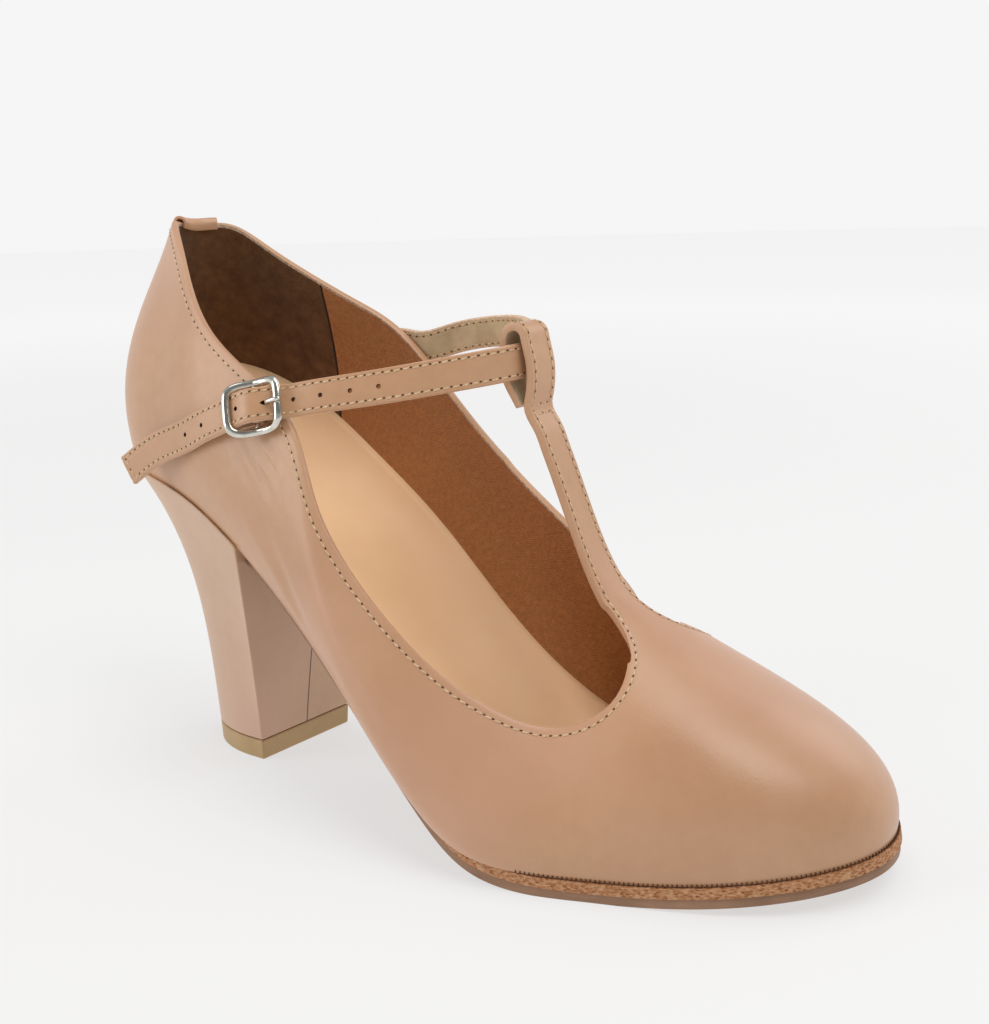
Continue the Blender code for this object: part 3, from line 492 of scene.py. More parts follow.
def sole_finish():
    """Burnished sole leather."""
    finish = Finish("sole_leather", (0.33, 0.19, 0.11), 0.5)
    cloud = finish.noise(60.0, 5.0, 0.6)
    streaks = finish.noise(400.0, 4.0, 0.6, finish.place(scale=(0.4, 0.4, 1.5)))
    finish.colour(finish.ramp(finish.sums((cloud, 0.5), (streaks, 0.5)),
                              ((0.32, (0.25, 0.135, 0.078)), (0.64, (0.36, 0.205, 0.122)))))
    finish.relief(streaks, 0.0002, 0.5)
    finish.gloss(cloud, 0.40, 0.60)
    return finish.fixed(Specular_IOR_Level=0.35)


def plastic_finish():
    """Moulded plastic with a fine matt skin."""
    finish = Finish("top_plastic", (0.36, 0.24, 0.115), 0.45)
    cloud = finish.noise(90.0, 3.0, 0.5)
    finish.colour(finish.ramp(cloud, ((0.30, (0.430, 0.285, 0.130)), (0.70, (0.520, 0.350, 0.170)))))
    finish.relief(finish.noise(1600.0, 3.0, 0.6), 0.00008, 0.5)
    finish.gloss(cloud, 0.38, 0.50)
    return finish.fixed(Specular_IOR_Level=0.4)


def plate_finish():
    """Polished nickel plate with faint wipe marks."""
    finish = Finish("nickel_plate", (0.68, 0.66, 0.59), 0.12)
    wipes = finish.noise(420.0, 4.0, 0.6, finish.place(scale=(1.0, 0.3, 1.0)))
    finish.colour(finish.ramp(wipes, ((0.30, (0.58, 0.56, 0.49)), (0.70, (0.76, 0.745, 0.69)))))
    finish.gloss(wipes, 0.08, 0.20)
    finish.relief(wipes, 0.00003, 0.4)
    return finish.fixed(Metallic=1.0)


def thread_finish(name, light, dark):
    """Twisted waxed thread; in dark brown the same finish is painted shade for the holes."""
    finish = Finish(name, light, 0.6)
    twist = finish.noise(2600.0, 2.0, 0.5)
    finish.colour(finish.ramp(twist, ((0.35, dark), (0.65, light))))
    finish.relief(twist, 0.0001, 0.6)
    return finish.fixed(Specular_IOR_Level=0.3)


SOCK = sock_finish()
FIBRES = fibre_finish()
SOLE = sole_finish()
PLASTIC = plastic_finish()
PLATE = plate_finish()
THREAD = thread_finish("tan_thread", (0.80, 0.60, 0.38), (0.56, 0.36, 0.20))
# dark brown painted shade for the punched holes' walls and the needle-hole discs; it also colours the sole seam's
# dark ticks
HOLE_SHADE_AND_DARK_THREAD = thread_finish("hole_shade_and_dark_thread", (0.130, 0.058, 0.028), (0.070, 0.030, 0.015))
print("finishes:", len(bpy.data.materials))

# %% [markdown]
# The last gives the shoe its shape. Eighteen ribs stand round it, each a curve from the edge of the sole up
# to the instep, and a smooth closed spline runs through them all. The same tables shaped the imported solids,
# so a piece that follows them lies exactly on its solid, only finer.

# %% Sizes of the last
LAST_LENGTH = 0.2147
BALL_WIDTH = 0.0795
HEEL_RISE = 0.0735
COUNTER_HEIGHT = 0.0620
TOE_SPRING = 0.0056
HEEL_SET = 0.0390
UPPER_WALL = 0.0018
LAYER = 0.0020
FIT_GAP = 0.0003
SOLE_STACK = 2 * LAYER + 2 * FIT_GAP
FEATHER_LINE = (
    (0.00, 1.000, 0.00), (0.10, 0.965, 0.00), (0.22, 0.885, 0.00), (0.34, 0.690, 0.00),
    (0.46, 0.405, 0.00), (0.56, 0.165, 0.00), (0.64, 0.035, 0.00), (0.72, 0.000, 0.00),
    (0.80, 0.000, 0.00), (0.90, 0.000, 0.35), (1.02, 0.000, 1.00),
)
# foot and top: shares of the length and of the ball width; the rest: shares of the counter height
STATIONS = (
    ("back",             0.026, 0.015, 0.082, 0.037, 0.996, 0.145, 0.467, 0.087, 0.306, 1.00),
    ("outer counter",    0.066, -0.235, 0.101, -0.092, 1.022, 0.122, 0.470, 0.100, 0.303, 1.00),
    ("outer seat",       0.150, -0.312, 0.160, -0.214, 0.950, 0.090, 0.399, 0.072, 0.295, 1.00),
    ("outer breast",     0.265, -0.367, 0.246, -0.320, 0.784, 0.099, 0.312, 0.072, 0.252, 1.00),
    ("outer waist",      0.385, -0.403, 0.374, -0.369, 0.790, 0.117, 0.226, 0.067, 0.208, 1.00),
    ("outer shank",      0.534, -0.473, 0.462, -0.433, 0.770, 0.118, 0.152, 0.084, 0.215, 1.00),
    ("outer ball",       0.649, -0.519, 0.586, -0.393, 0.637, 0.083, 0.134, 0.118, 0.209, 0.935),
    ("outer toe side",   0.774, -0.416, 0.681, -0.261, 0.553, 0.060, 0.198, 0.214, 0.188, 0.830),
    ("outer toe corner", 0.914, -0.255, 0.731, -0.122, 0.634, 0.048, 0.259, 0.385, 0.208, 0.834),
    ("tip",              0.999, 0.053, 0.730, 0.027, 0.687, 0.055, 0.331, 0.490, 0.237, 0.900),
    ("inner toe corner", 0.956, 0.345, 0.721, 0.163, 0.707, 0.052, 0.309, 0.364, 0.287, 0.826),
    ("inner toe side",   0.805, 0.454, 0.669, 0.274, 0.693, 0.050, 0.264, 0.191, 0.220, 0.853),
    ("inner ball",       0.646, 0.458, 0.613, 0.381, 0.813, 0.057, 0.222, 0.093, 0.223, 0.914),
    ("inner shank",      0.538, 0.350, 0.480, 0.381, 0.905, 0.081, 0.224, 0.055, 0.241, 0.990),
    ("inner waist",      0.396, 0.280, 0.348, 0.338, 0.974, 0.113, 0.258, 0.056, 0.231, 1.00),
    ("inner breast",     0.256, 0.293, 0.248, 0.303, 0.859, 0.097, 0.324, 0.066, 0.258, 1.00),
    ("inner seat",       0.151, 0.316, 0.155, 0.233, 0.926, 0.081, 0.390, 0.061, 0.303, 1.00),
    ("inner counter",    0.066, 0.250, 0.108, 0.156, 1.002, 0.113, 0.443, 0.076, 0.314, 1.00),
)
ROWS = np.array([row[1:] for row in STATIONS])
NAMES = [row[0] for row in STATIONS]
print("ribs:", len(STATIONS))


# %% A smooth curve through values
class Spline:
    """A smooth cubic curve through values at rising keys, closed when a period is given."""

    def __init__(self, keys, values, period=None):
        self.keys = np.asarray(keys, float)
        self.values = np.asarray(values, float).reshape(len(keys), -1)
        self.period = period
        count = len(keys)
        if period:
            ends = np.append(self.keys[1:], self.keys[0] + period)
            following = np.roll(self.values, -1, axis=0)
        else:
            ends = self.keys[1:]
            following = self.values[1:]
        self.steps = ends - self.keys[:len(ends)]
        slopes = (following - self.values[:len(ends)]) / self.steps[:, None]
        system = np.zeros((count, count))
        known = np.zeros_like(self.values)
        for row in range(count):
            if not period and row in (0, count - 1):
                system[row, row] = 1.0
                continue
            before = self.steps[row - 1]
            after = self.steps[row]
            system[row, row - 1] += before
            system[row, row] += 2 * (before + after)
            system[row, (row + 1) % count] += after
            known[row] = 6 * (slopes[row] - slopes[row - 1])
        self.bends = np.linalg.solve(system, known)

    def __call__(self, places):
        places = np.atleast_1d(np.asarray(places, float))
        if self.period:
            places = self.keys[0] + np.mod(places - self.keys[0], self.period)
        span = np.clip(np.searchsorted(self.keys, places, side="right") - 1, 0, len(self.steps) - 1)
        nxt = (span + 1) % len(self.keys)
        step = self.steps[span][:, None]
        after = (places - self.keys[span])[:, None]
        before = step - after
        low, high = self.bends[span], self.bends[nxt]
        return (low * before ** 3 + high * after ** 3) / (6 * step) \
            + (self.values[span] / step - low * step / 6) * before \
            + (self.values[nxt] / step - high * step / 6) * after


FEATHER_TABLE = np.array(FEATHER_LINE)
FEATHER_HEIGHT = Spline(FEATHER_TABLE[:, 0] * LAST_LENGTH - HEEL_SET,
                        FEATHER_TABLE[:, 1] * HEEL_RISE + FEATHER_TABLE[:, 2] * TOE_SPRING)
FOOT_POINTS = np.column_stack([ROWS[:, 0] * LAST_LENGTH - HEEL_SET, ROWS[:, 1] * BALL_WIDTH])
FOOT_CHORDS = np.linalg.norm(np.roll(FOOT_POINTS, -1, axis=0) - FOOT_POINTS, axis=1)
KEYS = np.concatenate([[0.0], np.cumsum(FOOT_CHORDS)[:-1]]) / FOOT_CHORDS.sum()
FOOT_CURVE = Spline(KEYS, FOOT_POINTS, period=1.0)
TOP_CURVE = Spline(KEYS, np.column_stack([
    ROWS[:, 2] * LAST_LENGTH - HEEL_SET, ROWS[:, 3] * BALL_WIDTH, ROWS[:, 4:9] * COUNTER_HEIGHT, ROWS[:, 9]]),
    period=1.0)
STATION = dict(zip(NAMES, KEYS))


def feather_height(x):
    """Height of the last's underside above the floor."""
    return SOLE_STACK + FEATHER_HEIGHT(x)[:, 0]


print("round the last:", round(float(FOOT_CHORDS.sum()) * 1000), "mm")


# %% The skin of the last
def ribs(places):
    """The four handles of each rib, from the feather line up to the instep."""
    foot = FOOT_CURVE(places)
    height = feather_height(foot[:, 0])
    run = FOOT_CURVE(places + 1e-4) - FOOT_CURVE(places - 1e-4)
    run /= np.linalg.norm(run, axis=1)[:, None]
    out = np.column_stack([run[:, 1], -run[:, 0]])
    top_x, top_y, rise, foot_out, foot_up, top_out, top_down = TOP_CURVE(places)[:, :7].T
    start = np.column_stack([foot, height])
    end = np.column_stack([top_x, top_y, height + rise])
    first = start + np.column_stack([out * foot_out[:, None], foot_up])
    second = end + np.column_stack([out * top_out[:, None], -top_down])
    return start, first, second, end


def skin(places, shares):
    """Outer surface of the upper: places round the last, shares up each rib."""
    places = np.atleast_1d(np.asarray(places, float))
    share = np.broadcast_to(np.asarray(shares, float), places.shape)[:, None]
    start, first, second, end = ribs(places)
    rest = 1 - share
    low = rest ** 3 * start + 3 * share * rest ** 2 * first
    return low + 3 * share ** 2 * rest * second + share ** 3 * end


def skin_normal(places, shares):
    """Outward direction of the upper's surface."""
    around = skin(np.asarray(places) + 1e-3, shares) - skin(np.asarray(places) - 1e-3, shares)
    upward = skin(places, np.asarray(shares) + 1e-3) - skin(places, np.asarray(shares) - 1e-3)
    normal = np.cross(around, upward)
    return normal / np.linalg.norm(normal, axis=1)[:, None]


T_STRAP_WIDTH = 0.0089
T_STRAP_ROOT_OUTER = 0.0071
T_STRAP_ROOT_INNER = 0.0045
THROAT_FILLET = 0.0080
MIDDLE_Y = TOP_CURVE(STATION["tip"])[0, 1]


def strap_edge(low, high, aside):
    """Place round the last of one edge of the T-strap's root."""
    line = np.linspace(STATION[low], STATION[high], 400)
    return float(np.interp(MIDDLE_Y + aside, TOP_CURVE(line)[:, 1], line))


STRAP_OUTER_EDGE = strap_edge("outer toe side", "tip", -T_STRAP_ROOT_OUTER)
STRAP_INNER_EDGE = strap_edge("tip", "inner toe side", T_STRAP_ROOT_INNER)


def topline(places):
    """Share of each rib that the leather covers: lower in the throat, full at the T-strap."""
    places = np.mod(places, 1.0)
    cut = np.minimum(TOP_CURVE(places)[:, 7], 1.0)
    full = (places < STATION["outer shank"]) | (places > STATION["inner shank"])
    cut = np.where(full, 1.0, cut)
    offset = TOP_CURVE(places)[:, 1] - MIDDLE_Y
    side = np.where(offset < 0, -offset - T_STRAP_ROOT_OUTER, offset - T_STRAP_ROOT_INNER)
    reach = np.clip(side / THROAT_FILLET, 0.0, 1.0)
    near = (places > STATION["outer ball"]) & (places < STATION["inner ball"])
    rounded = np.where(near, 1 - np.sqrt(1 - (1 - reach) ** 2), 0.0)
    return cut + (1 - cut) * rounded


print("T-strap root from", round(STRAP_OUTER_EDGE, 3), "to", round(STRAP_INNER_EDGE, 3))

# %% [markdown]
# Leather that has been pulled tight under a buckle keeps a few soft folds. Each is a short trough placed
# between two listed spots of the skin and pressed in by a smooth hollow, with a low ridge beside it.
# Working in place and share, the skin's own directions, keeps the folds on the leather wherever it bends.

# %% Soft folds of the outer quarter
SKIN_ROUND = 0.51
SKIN_RISE = 0.068
FOLD_COLUMNS = ("name", "from place", "from share", "to place", "to share", "half width", "depth")
FOLDS = (
    ("under the buckle, rear", 0.1600, 0.640, 0.1720, 0.480, 0.0011, 0.00040),
    ("under the buckle, middle", 0.1655, 0.690, 0.1885, 0.570, 0.0012, 0.00062),
    ("under the buckle, front", 0.1715, 0.720, 0.1930, 0.680, 0.0010, 0.00044),
    ("below the topline", 0.1800, 0.800, 0.2005, 0.780, 0.0012, 0.00034),
    ("over the counter", 0.1350, 0.860, 0.1420, 0.700, 0.0014, 0.00018),
    ("long pull to the waist", 0.1760, 0.420, 0.2120, 0.180, 0.0038, 0.00042),
    ("ball flex, outer", 0.4050, 0.700, 0.4300, 0.380, 0.0042, 0.00016),
)


def folds(places, shares):
    """How far the folds push the skin out at each place and share."""
    offset = np.zeros(len(places))
    for _, from_place, from_share, to_place, to_share, half_width, depth in FOLDS:
        start = np.array([from_place * SKIN_ROUND, from_share * SKIN_RISE])
        run = np.array([to_place * SKIN_ROUND, to_share * SKIN_RISE]) - start
        length = np.linalg.norm(run)
        here = np.column_stack([np.mod(places, 1.0) * SKIN_ROUND, shares * SKIN_RISE]) - start
        along = here @ run / length ** 2
        aside = (here[:, 0] * run[1] - here[:, 1] * run[0]) / length / half_width
        ends = np.exp(-(np.maximum(np.abs(along - 0.5) - 0.32, 0) / 0.16) ** 2)
        profile = -np.exp(-aside ** 2) + 0.55 * np.exp(-(aside - 1.9) ** 2)
        offset += depth * ends * profile
    return offset


print("folds:", len(FOLDS))

# %% [markdown]
# The upper is one sheet of leather: vamp, quarters and the T-strap in one. A flat grid gives its vertices and
# its faces, and each vertex is then carried to its place on the last. A second grid does the strap: it starts
# on the vamp's top row, narrows, climbs to the loop, turns over and comes down behind. The two are merged
# where they meet, and Solidify gives the wall, with the lining inside and the cut edge round the rim.


# %% Rib places of the upper
def even_points(line, count):
    """Points spread evenly along a line, ends kept."""
    reached = np.concatenate([[0], np.cumsum(np.linalg.norm(np.diff(line, axis=0), axis=1))])
    places = np.linspace(0, reached[-1], count)
    return np.column_stack([np.interp(places, reached, line[:, axis]) for axis in range(line.shape[1])])


def body_places(side_columns, fillet_columns):
    """Rib places from the T-strap's inner edge back round the heel to its outer edge."""
    turns = np.linspace(0, math.pi / 2, fillet_columns + 1)
    reach = THROAT_FILLET * (1 - np.sin(turns))
    outer = np.linspace(STATION["outer ball"], STRAP_OUTER_EDGE, 300)
    outer_fillet = np.interp(MIDDLE_Y - T_STRAP_ROOT_OUTER - reach, TOP_CURVE(outer)[:, 1], outer)
    inner = np.linspace(STRAP_INNER_EDGE, STATION["inner ball"], 300)
    inner_fillet = np.interp(MIDDLE_Y + T_STRAP_ROOT_INNER + reach, TOP_CURVE(inner)[:, 1], inner)
    sides = np.linspace(inner_fillet[0], 1 + outer_fillet[0], side_columns)
    return np.concatenate([inner_fillet[::-1][:-1], sides, 1 + outer_fillet[1:]])


BODY_PLACES = body_places(260, 14)
ROOT_PLACES = 1 + np.linspace(STRAP_OUTER_EDGE, STRAP_INNER_EDGE, 15)
ALL_PLACES = np.concatenate([BODY_PLACES, ROOT_PLACES[1:]])
COVERED = topline(ALL_PLACES)
COVERED[[0, len(BODY_PLACES) - 1]] = 1.0
COVERED[len(BODY_PLACES):] = 1.0
print("columns round the upper:", len(ALL_PLACES))

# %% The T-strap's line
T_STRAP_BACK = 0.0245
T_STRAP_SHIFT = 0.0006
T_STRAP_RISE = 0.0455
LOOP_HEIGHT = 0.0185
LOOP_RADIUS = 0.0038


def strap_side_path():
    """The T-strap's outer face from the side: up to the loop, over its top and down behind."""
    _, _, handle, root = (points[0] for points in ribs(np.array([STATION["tip"]])))
    stitch = root + np.array([-T_STRAP_BACK, -T_STRAP_SHIFT, T_STRAP_RISE])
    rising = stitch - root
    lead = (root - handle) / np.linalg.norm(root - handle)
    first = root + lead * np.linalg.norm(rising) * 0.26
    second = stitch - rising * 0.38
    points = []
    for share in np.linspace(0, 1, 13)[1:]:
        rest = 1 - share
        points.append(rest ** 3 * root + 3 * share * rest ** 2 * first
                      + 3 * share ** 2 * rest * second + share ** 3 * stitch)
    top = stitch + np.array([-0.0004, 0.0, LOOP_HEIGHT - LOOP_RADIUS])
    for share in (0.12, 0.3, 0.65, 1.0):
        bend = np.array([0.0012 * math.sin(math.pi * share), 0.0, 0.0])
        points.append(stitch + (top - stitch) * share + bend)
    centre = top - np.array([LOOP_RADIUS, 0.0, 0.0])
    for angle in np.radians((35, 70, 105, 140, 172)):
        points.append(centre + LOOP_RADIUS * np.array([math.cos(angle), 0.0, math.sin(angle)]))
    behind = stitch - np.array([2 * UPPER_WALL + FIT_GAP, 0.0, 0.0008])
    last = points[-1]
    for drop, inward in ((0.35, 0.0), (0.62, 0.12), (0.82, 0.55), (1.0, 1.0)):
        points.append(last + (behind - last) * np.array([inward, inward, drop]))
    return root, np.array(points), stitch, centre


ROOT, COARSE_PATH, STITCH, LOOP_CENTRE = strap_side_path()
coarse = np.vstack([ROOT, COARSE_PATH])
COARSE_REACHED = np.concatenate([[0], np.cumsum(np.linalg.norm(np.diff(coarse, axis=0), axis=1))])
T_LINE = Spline(COARSE_REACHED, coarse)
NARROW_AT = COARSE_REACHED[12] * 0.55
T_PLACES = np.concatenate([np.linspace(0, COARSE_REACHED[16], 60), np.linspace(COARSE_REACHED[16],
                           COARSE_REACHED[-1], 46)[1:]])
ROOT_ROW = skin(ROOT_PLACES, 1.0)
ROOTED = ROOT_ROW - ROOT_ROW.mean(axis=0)
ROOTED[:, 1] = ROOT_ROW[:, 1] - ROOT[1]


def t_strap_row(place):
    """Points across the T-strap's outer face at a distance from its root."""
    centre = T_LINE(place)[0]
    share = min(place / NARROW_AT, 1.0)
    blend = share * share * (3 - 2 * share)
    straight = np.outer(np.linspace(-1, 1, len(ROOT_PLACES)) * T_STRAP_WIDTH / 2, (0.0, 1.0, 0.0))
    points = centre + ROOTED * (1 - blend) + straight * blend
    points[:, 1] = centre[1] + straight[:, 1] + (ROOTED - straight)[:, 1] * (1 - share) ** 2
    return points


print("T-strap length to the fold's end:", round(COARSE_REACHED[-1] * 1000, 1), "mm")


# %% A grid carried onto a surface
def carried_grid(shape, columns, rows, carry, uv_layer=None):
    """A flat grid whose vertex in column and row goes where carry says; carry also gives its UV."""
    made = bmesh.ops.create_grid(shape, x_segments=columns - 1, y_segments=rows - 1, size=1.0)
    spots = {}
    for vertex in made["verts"]:
        column = round((vertex.co.x + 1) / 2 * (columns - 1))
        row = round((vertex.co.y + 1) / 2 * (rows - 1))
        spot, uv = carry(column, row)
        vertex.co = Vector(spot)
        spots[vertex] = uv
    if uv_layer:
        for face in {face for vertex in made["verts"] for face in vertex.link_faces}:
            for corner in face.loops:
                corner[uv_layer].uv = spots[corner.vert]
    return made["verts"]


BODY_ROWS = 34
body_points = []
for row in range(BODY_ROWS):
    row_shares = COVERED * row / (BODY_ROWS - 1)
    lying = skin(ALL_PLACES, row_shares)
    lying += skin_normal(ALL_PLACES, row_shares) * folds(ALL_PLACES, row_shares)[:, None]
    body_points.append(lying)
t_strap_points = [t_strap_row(place) for place in T_PLACES]
t_strap_points[0] = body_points[-1][len(BODY_PLACES) - 1:]


def carry_body(column, row):
    """Where a vertex of the vamp and quarters goes."""
    share = COVERED[column] * row / (BODY_ROWS - 1)
    down = COVERED[column] - share
    return body_points[row][column], (ALL_PLACES[column] * SKIN_ROUND, down * SKIN_RISE)


def carry_t_strap(column, row):
    """Where a vertex of the T-strap goes."""
    return t_strap_points[row][column], (0.25 + column * 0.0006, -T_PLACES[row])


sheet = bmesh.new()
round_uv = sheet.loops.layers.uv.new("round")
carried_grid(sheet, len(ALL_PLACES), BODY_ROWS, carry_body, round_uv)
carried_grid(sheet, len(ROOT_PLACES), len(T_PLACES), carry_t_strap, round_uv)
bmesh.ops.remove_doubles(sheet, verts=sheet.verts, dist=2e-5)
ROOT_CORNERS = (Vector(t_strap_points[0][0]), Vector(t_strap_points[0][-1]))
EASED_REACH = 0.0075
for corner in ROOT_CORNERS:
    near = [vertex for vertex in sheet.verts if (vertex.co - corner).length < EASED_REACH]
    for _ in range(14):
        bmesh.ops.smooth_vert(sheet, verts=near, factor=0.5, use_axis_x=True, use_axis_y=True, use_axis_z=True)
upper = finished("upper_leather_shell", sheet)
print("upper faces:", len(upper.data.polygons))

# %% The upper's wall, lining and rim
LINING_SEAM_INNER = 0.8865 * SKIN_ROUND
LINING_SEAM_OUTER = 1.1150 * SKIN_ROUND
LINING = lining_finish(LINING_SEAM_OUTER, LINING_SEAM_INNER)
for finish in (TAN_LEATHER, LINING):
    upper.data.materials.append(finish)
wall = upper.modifiers.new("wall", "SOLIDIFY")
wall.thickness = UPPER_WALL
wall.offset = -1.0
wall.use_even_offset = False
wall.use_quality_normals = True
wall.material_offset = 1
wall.material_offset_rim = 0
softened = upper.modifiers.new("softened_rim", "BEVEL")
softened.limit_method = "ANGLE"
softened.angle_limit = math.radians(55)
softened.width = 0.0004
softened.segments = 2
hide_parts("upper")
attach(upper, "root")
print("wall", UPPER_WALL * 1000, "mm")

# %% [markdown]
# The soles are two layers cut to the last's underside. A grid strip is carried between the outer and
# the inner outline, heel to toe, and follows the underside's height. Solidify gives each layer its thickness
# downwards, and a fine bevel rounds its edges as a trimming knife and an edge iron would.


# %% Outlines of the layers
def outline_sides(margin):
    """The feather outline moved outwards by a margin that may vary with x, as an outer and an inner curve."""
    places = np.linspace(0, 1, 2400, endpoint=False)
    foot = FOOT_CURVE(places)
    run = FOOT_CURVE(places + 1e-4) - FOOT_CURVE(places - 1e-4)
    run /= np.linalg.norm(run, axis=1)[:, None]
    moved = foot + np.column_stack([run[:, 1], -run[:, 0]]) * margin(foot[:, 0])[:, None]
    rear, front = int(moved[:, 0].argmin()), int(moved[:, 0].argmax())
    moved = np.roll(moved, -rear, axis=0)
    front = (front - rear) % len(moved)
    return moved[:front + 1], np.vstack([moved[front:], moved[:1]])[::-1]


LAYER_COLUMNS = 150
LAYER_ROWS = 15


def layer(name, margin, rear_x, top, thickness, finish):
    """A sheet between the outlines at the heights that top gives, with its thickness below it."""
    outer, inner = outline_sides(margin)
    rear = outer[0, 0] if rear_x is None else rear_x
    front = outer[-1, 0]
    turns = np.linspace(0 if rear_x is None else math.pi / 2, math.pi, LAYER_COLUMNS)
    share = (1 - np.cos(turns)) / 2 if rear_x is None else -np.cos(turns)
    line = rear + (front - rear) * share
    outer_y = np.interp(line, outer[:, 0], outer[:, 1])
    inner_y = np.interp(line, inner[:, 0], inner[:, 1])
    heights = top(line)

    def carry(column, row):
        across = row / (LAYER_ROWS - 1)
        y = outer_y[column] * (1 - across) + inner_y[column] * across
        return (line[column], y, heights[column]), (line[column], y)

    strip = bmesh.new()
    layer_uv = strip.loops.layers.uv.new("layer")
    carried_grid(strip, LAYER_COLUMNS, LAYER_ROWS, carry, layer_uv)
    bmesh.ops.remove_doubles(strip, verts=strip.verts, dist=1e-5)
    bmesh.ops.recalc_face_normals(strip, faces=strip.faces)
    if sum(face.normal.z for face in strip.faces) < 0:
        bmesh.ops.reverse_faces(strip, faces=strip.faces)
    piece = finished(name, strip)
    piece.data.materials.append(finish)
    body = piece.modifiers.new("thickness", "SOLIDIFY")
    body.thickness = thickness
    body.offset = -1.0
    trimmed = piece.modifiers.new("trimmed_edge", "BEVEL")
    trimmed.limit_method = "ANGLE"
    trimmed.angle_limit = math.radians(50)
    trimmed.width = 0.00035
    trimmed.segments = 3
    print(name, "runs from", round(rear * 1000, 1), "to", round(front * 1000, 1), "mm")
    return piece


# %% Middle layer and lower layer
FOREFOOT_MARGIN = 0.0007
WAIST_TUCK = 0.0030
FOREFOOT_START = 0.76 * LAST_LENGTH - HEEL_SET
WAIST_END = 0.56 * LAST_LENGTH - HEEL_SET
BREAST_TOP_X = 0.293 * LAST_LENGTH - HEEL_SET


def sole_margin(x):
    """Forefoot edge stands a little proud of the upper, the waist is tucked under it."""
    tucked = np.clip((FOREFOOT_START - x) / (FOREFOOT_START - WAIST_END), 0.0, 1.0)
    tucked = tucked * tucked * (3 - 2 * tucked)
    return FOREFOOT_MARGIN - (FOREFOOT_MARGIN + WAIST_TUCK) * tucked


middle_layer = layer("middle_layer", sole_margin, BREAST_TOP_X + FIT_GAP,
                     lambda x: feather_height(x) - FIT_GAP / 2, LAYER + FIT_GAP, FIBRES)
lower_layer = layer("lower_layer", lambda x: sole_margin(x) - 0.0002, BREAST_TOP_X + FIT_GAP,
                    lambda x: feather_height(x) - FIT_GAP * 1.5 - LAYER, LAYER + FIT_GAP / 2, SOLE)
for piece, node, slot_name in ((middle_layer, "midsole", "raw_leather"), (lower_layer, "outsole", "sole_leather")):
    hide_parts(node)
    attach(piece, "root")

# %% [markdown]
# The sock is a padded leather sheet, cupped to hold the foot: its edge climbs the inner wall of the shoe, most
# of all along the inner side and round the heel, and runs out flat under the toes. A grid is carried between
# its two edges, which follow the upper's own ribs at a share that a short table gives, and it sags between
# them; raised to a high power, the sag leaves a flat bed with steep sides.

# %% Sock
SOCK_EDGE = (
    ("back", 0.000, 0.330), ("outer counter", 0.060, 0.290), ("outer seat", 0.120, 0.240),
    ("outer waist", 0.200, 0.170), ("outer shank", 0.280, 0.110), ("outer ball", 0.360, 0.060),
    ("outer toe", 0.440, 0.035), ("tip", 0.520, 0.030), ("inner toe", 0.620, 0.045),
    ("inner ball", 0.700, 0.085), ("inner ball, rear", 0.730, 0.115), ("inner shank", 0.765, 0.170),
    ("inner waist", 0.805, 0.225), ("inner breast", 0.855, 0.235), ("inner seat", 0.900, 0.285),
    ("inner counter", 0.950, 0.325),
)
SOCK_THICKNESS = 0.0009
SOCK_COLUMNS = 170
SOCK_ROWS = 41
SOCK_BED = 4.0


def sock_sides():
    """The sock's edge on the upper's inner wall, as an outer and an inner curve from heel to toe."""
    places = np.linspace(0, 1, 2400, endpoint=False)
    climb = Spline([row[1] for row in SOCK_EDGE], [row[2] for row in SOCK_EDGE], period=1.0)(places)[:, 0]
    edge = skin(places, climb) - skin_normal(places, climb) * (UPPER_WALL + 0.0001)
    rear, front = int(edge[:, 0].argmin()), int(edge[:, 0].argmax())
    edge = np.roll(edge, -rear, axis=0)
    front = (front - rear) % len(edge)
    return edge[:front + 1], np.vstack([edge[front:], edge[:1]])[::-1]


sock_outer, sock_inner = sock_sides()
sock_along = -np.cos(np.linspace(0, math.pi, SOCK_COLUMNS))
sock_x = sock_outer[0, 0] + (sock_outer[-1, 0] - sock_outer[0, 0]) * (sock_along + 1) / 2
outer_rim = np.column_stack([np.interp(sock_x, sock_outer[:, 0], sock_outer[:, axis]) for axis in (1, 2)])
inner_rim = np.column_stack([np.interp(sock_x, sock_inner[:, 0], sock_inner[:, axis]) for axis in (1, 2)])
sock_bed = feather_height(np.maximum(sock_x, FEATHER_TABLE[0, 0] * LAST_LENGTH - HEEL_SET)) + LAYER


def carry_sock(column, row):
    """Where a vertex of the sock goes: between the rims, sagging to the bed."""
    across = row / (SOCK_ROWS - 1)
    y, rim = outer_rim[column] * (1 - across) + inner_rim[column] * across
    along = sock_along[column] ** 2
    closeness = math.sqrt(along + (2 * across - 1) ** 2 * (1 - along))
    climbed = (rim - sock_bed[column]) * closeness ** SOCK_BED
    return (sock_x[column], y, sock_bed[column] + climbed), (0, 0)


sock_shape = bmesh.new()
carried_grid(sock_shape, SOCK_COLUMNS, SOCK_ROWS, carry_sock)
bmesh.ops.remove_doubles(sock_shape, verts=sock_shape.verts, dist=1e-5)
bmesh.ops.recalc_face_normals(sock_shape, faces=sock_shape.faces)
if sum(face.normal.z for face in sock_shape.faces) < 0:
    bmesh.ops.reverse_faces(sock_shape, faces=sock_shape.faces)
sock = finished("sock", sock_shape)
sock.data.materials.append(SOCK)
sock_body = sock.modifiers.new("thickness", "SOLIDIFY")
sock_body.thickness = SOCK_THICKNESS
sock_body.offset = -1.0
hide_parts("insole")
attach(sock, "root")
print("sock faces:", len(sock.data.polygons))

# %% [markdown]
# The block heel is wide under the seat, hollowed at the back and nearly straight at the breast. Rings of the
# seat's outline are blended into the tip's D on the way down. A grid wound round makes the wrapped wall, and
# the ends are closed on the grid's open edges. The breast corners get a small bevel, as leather gives them.

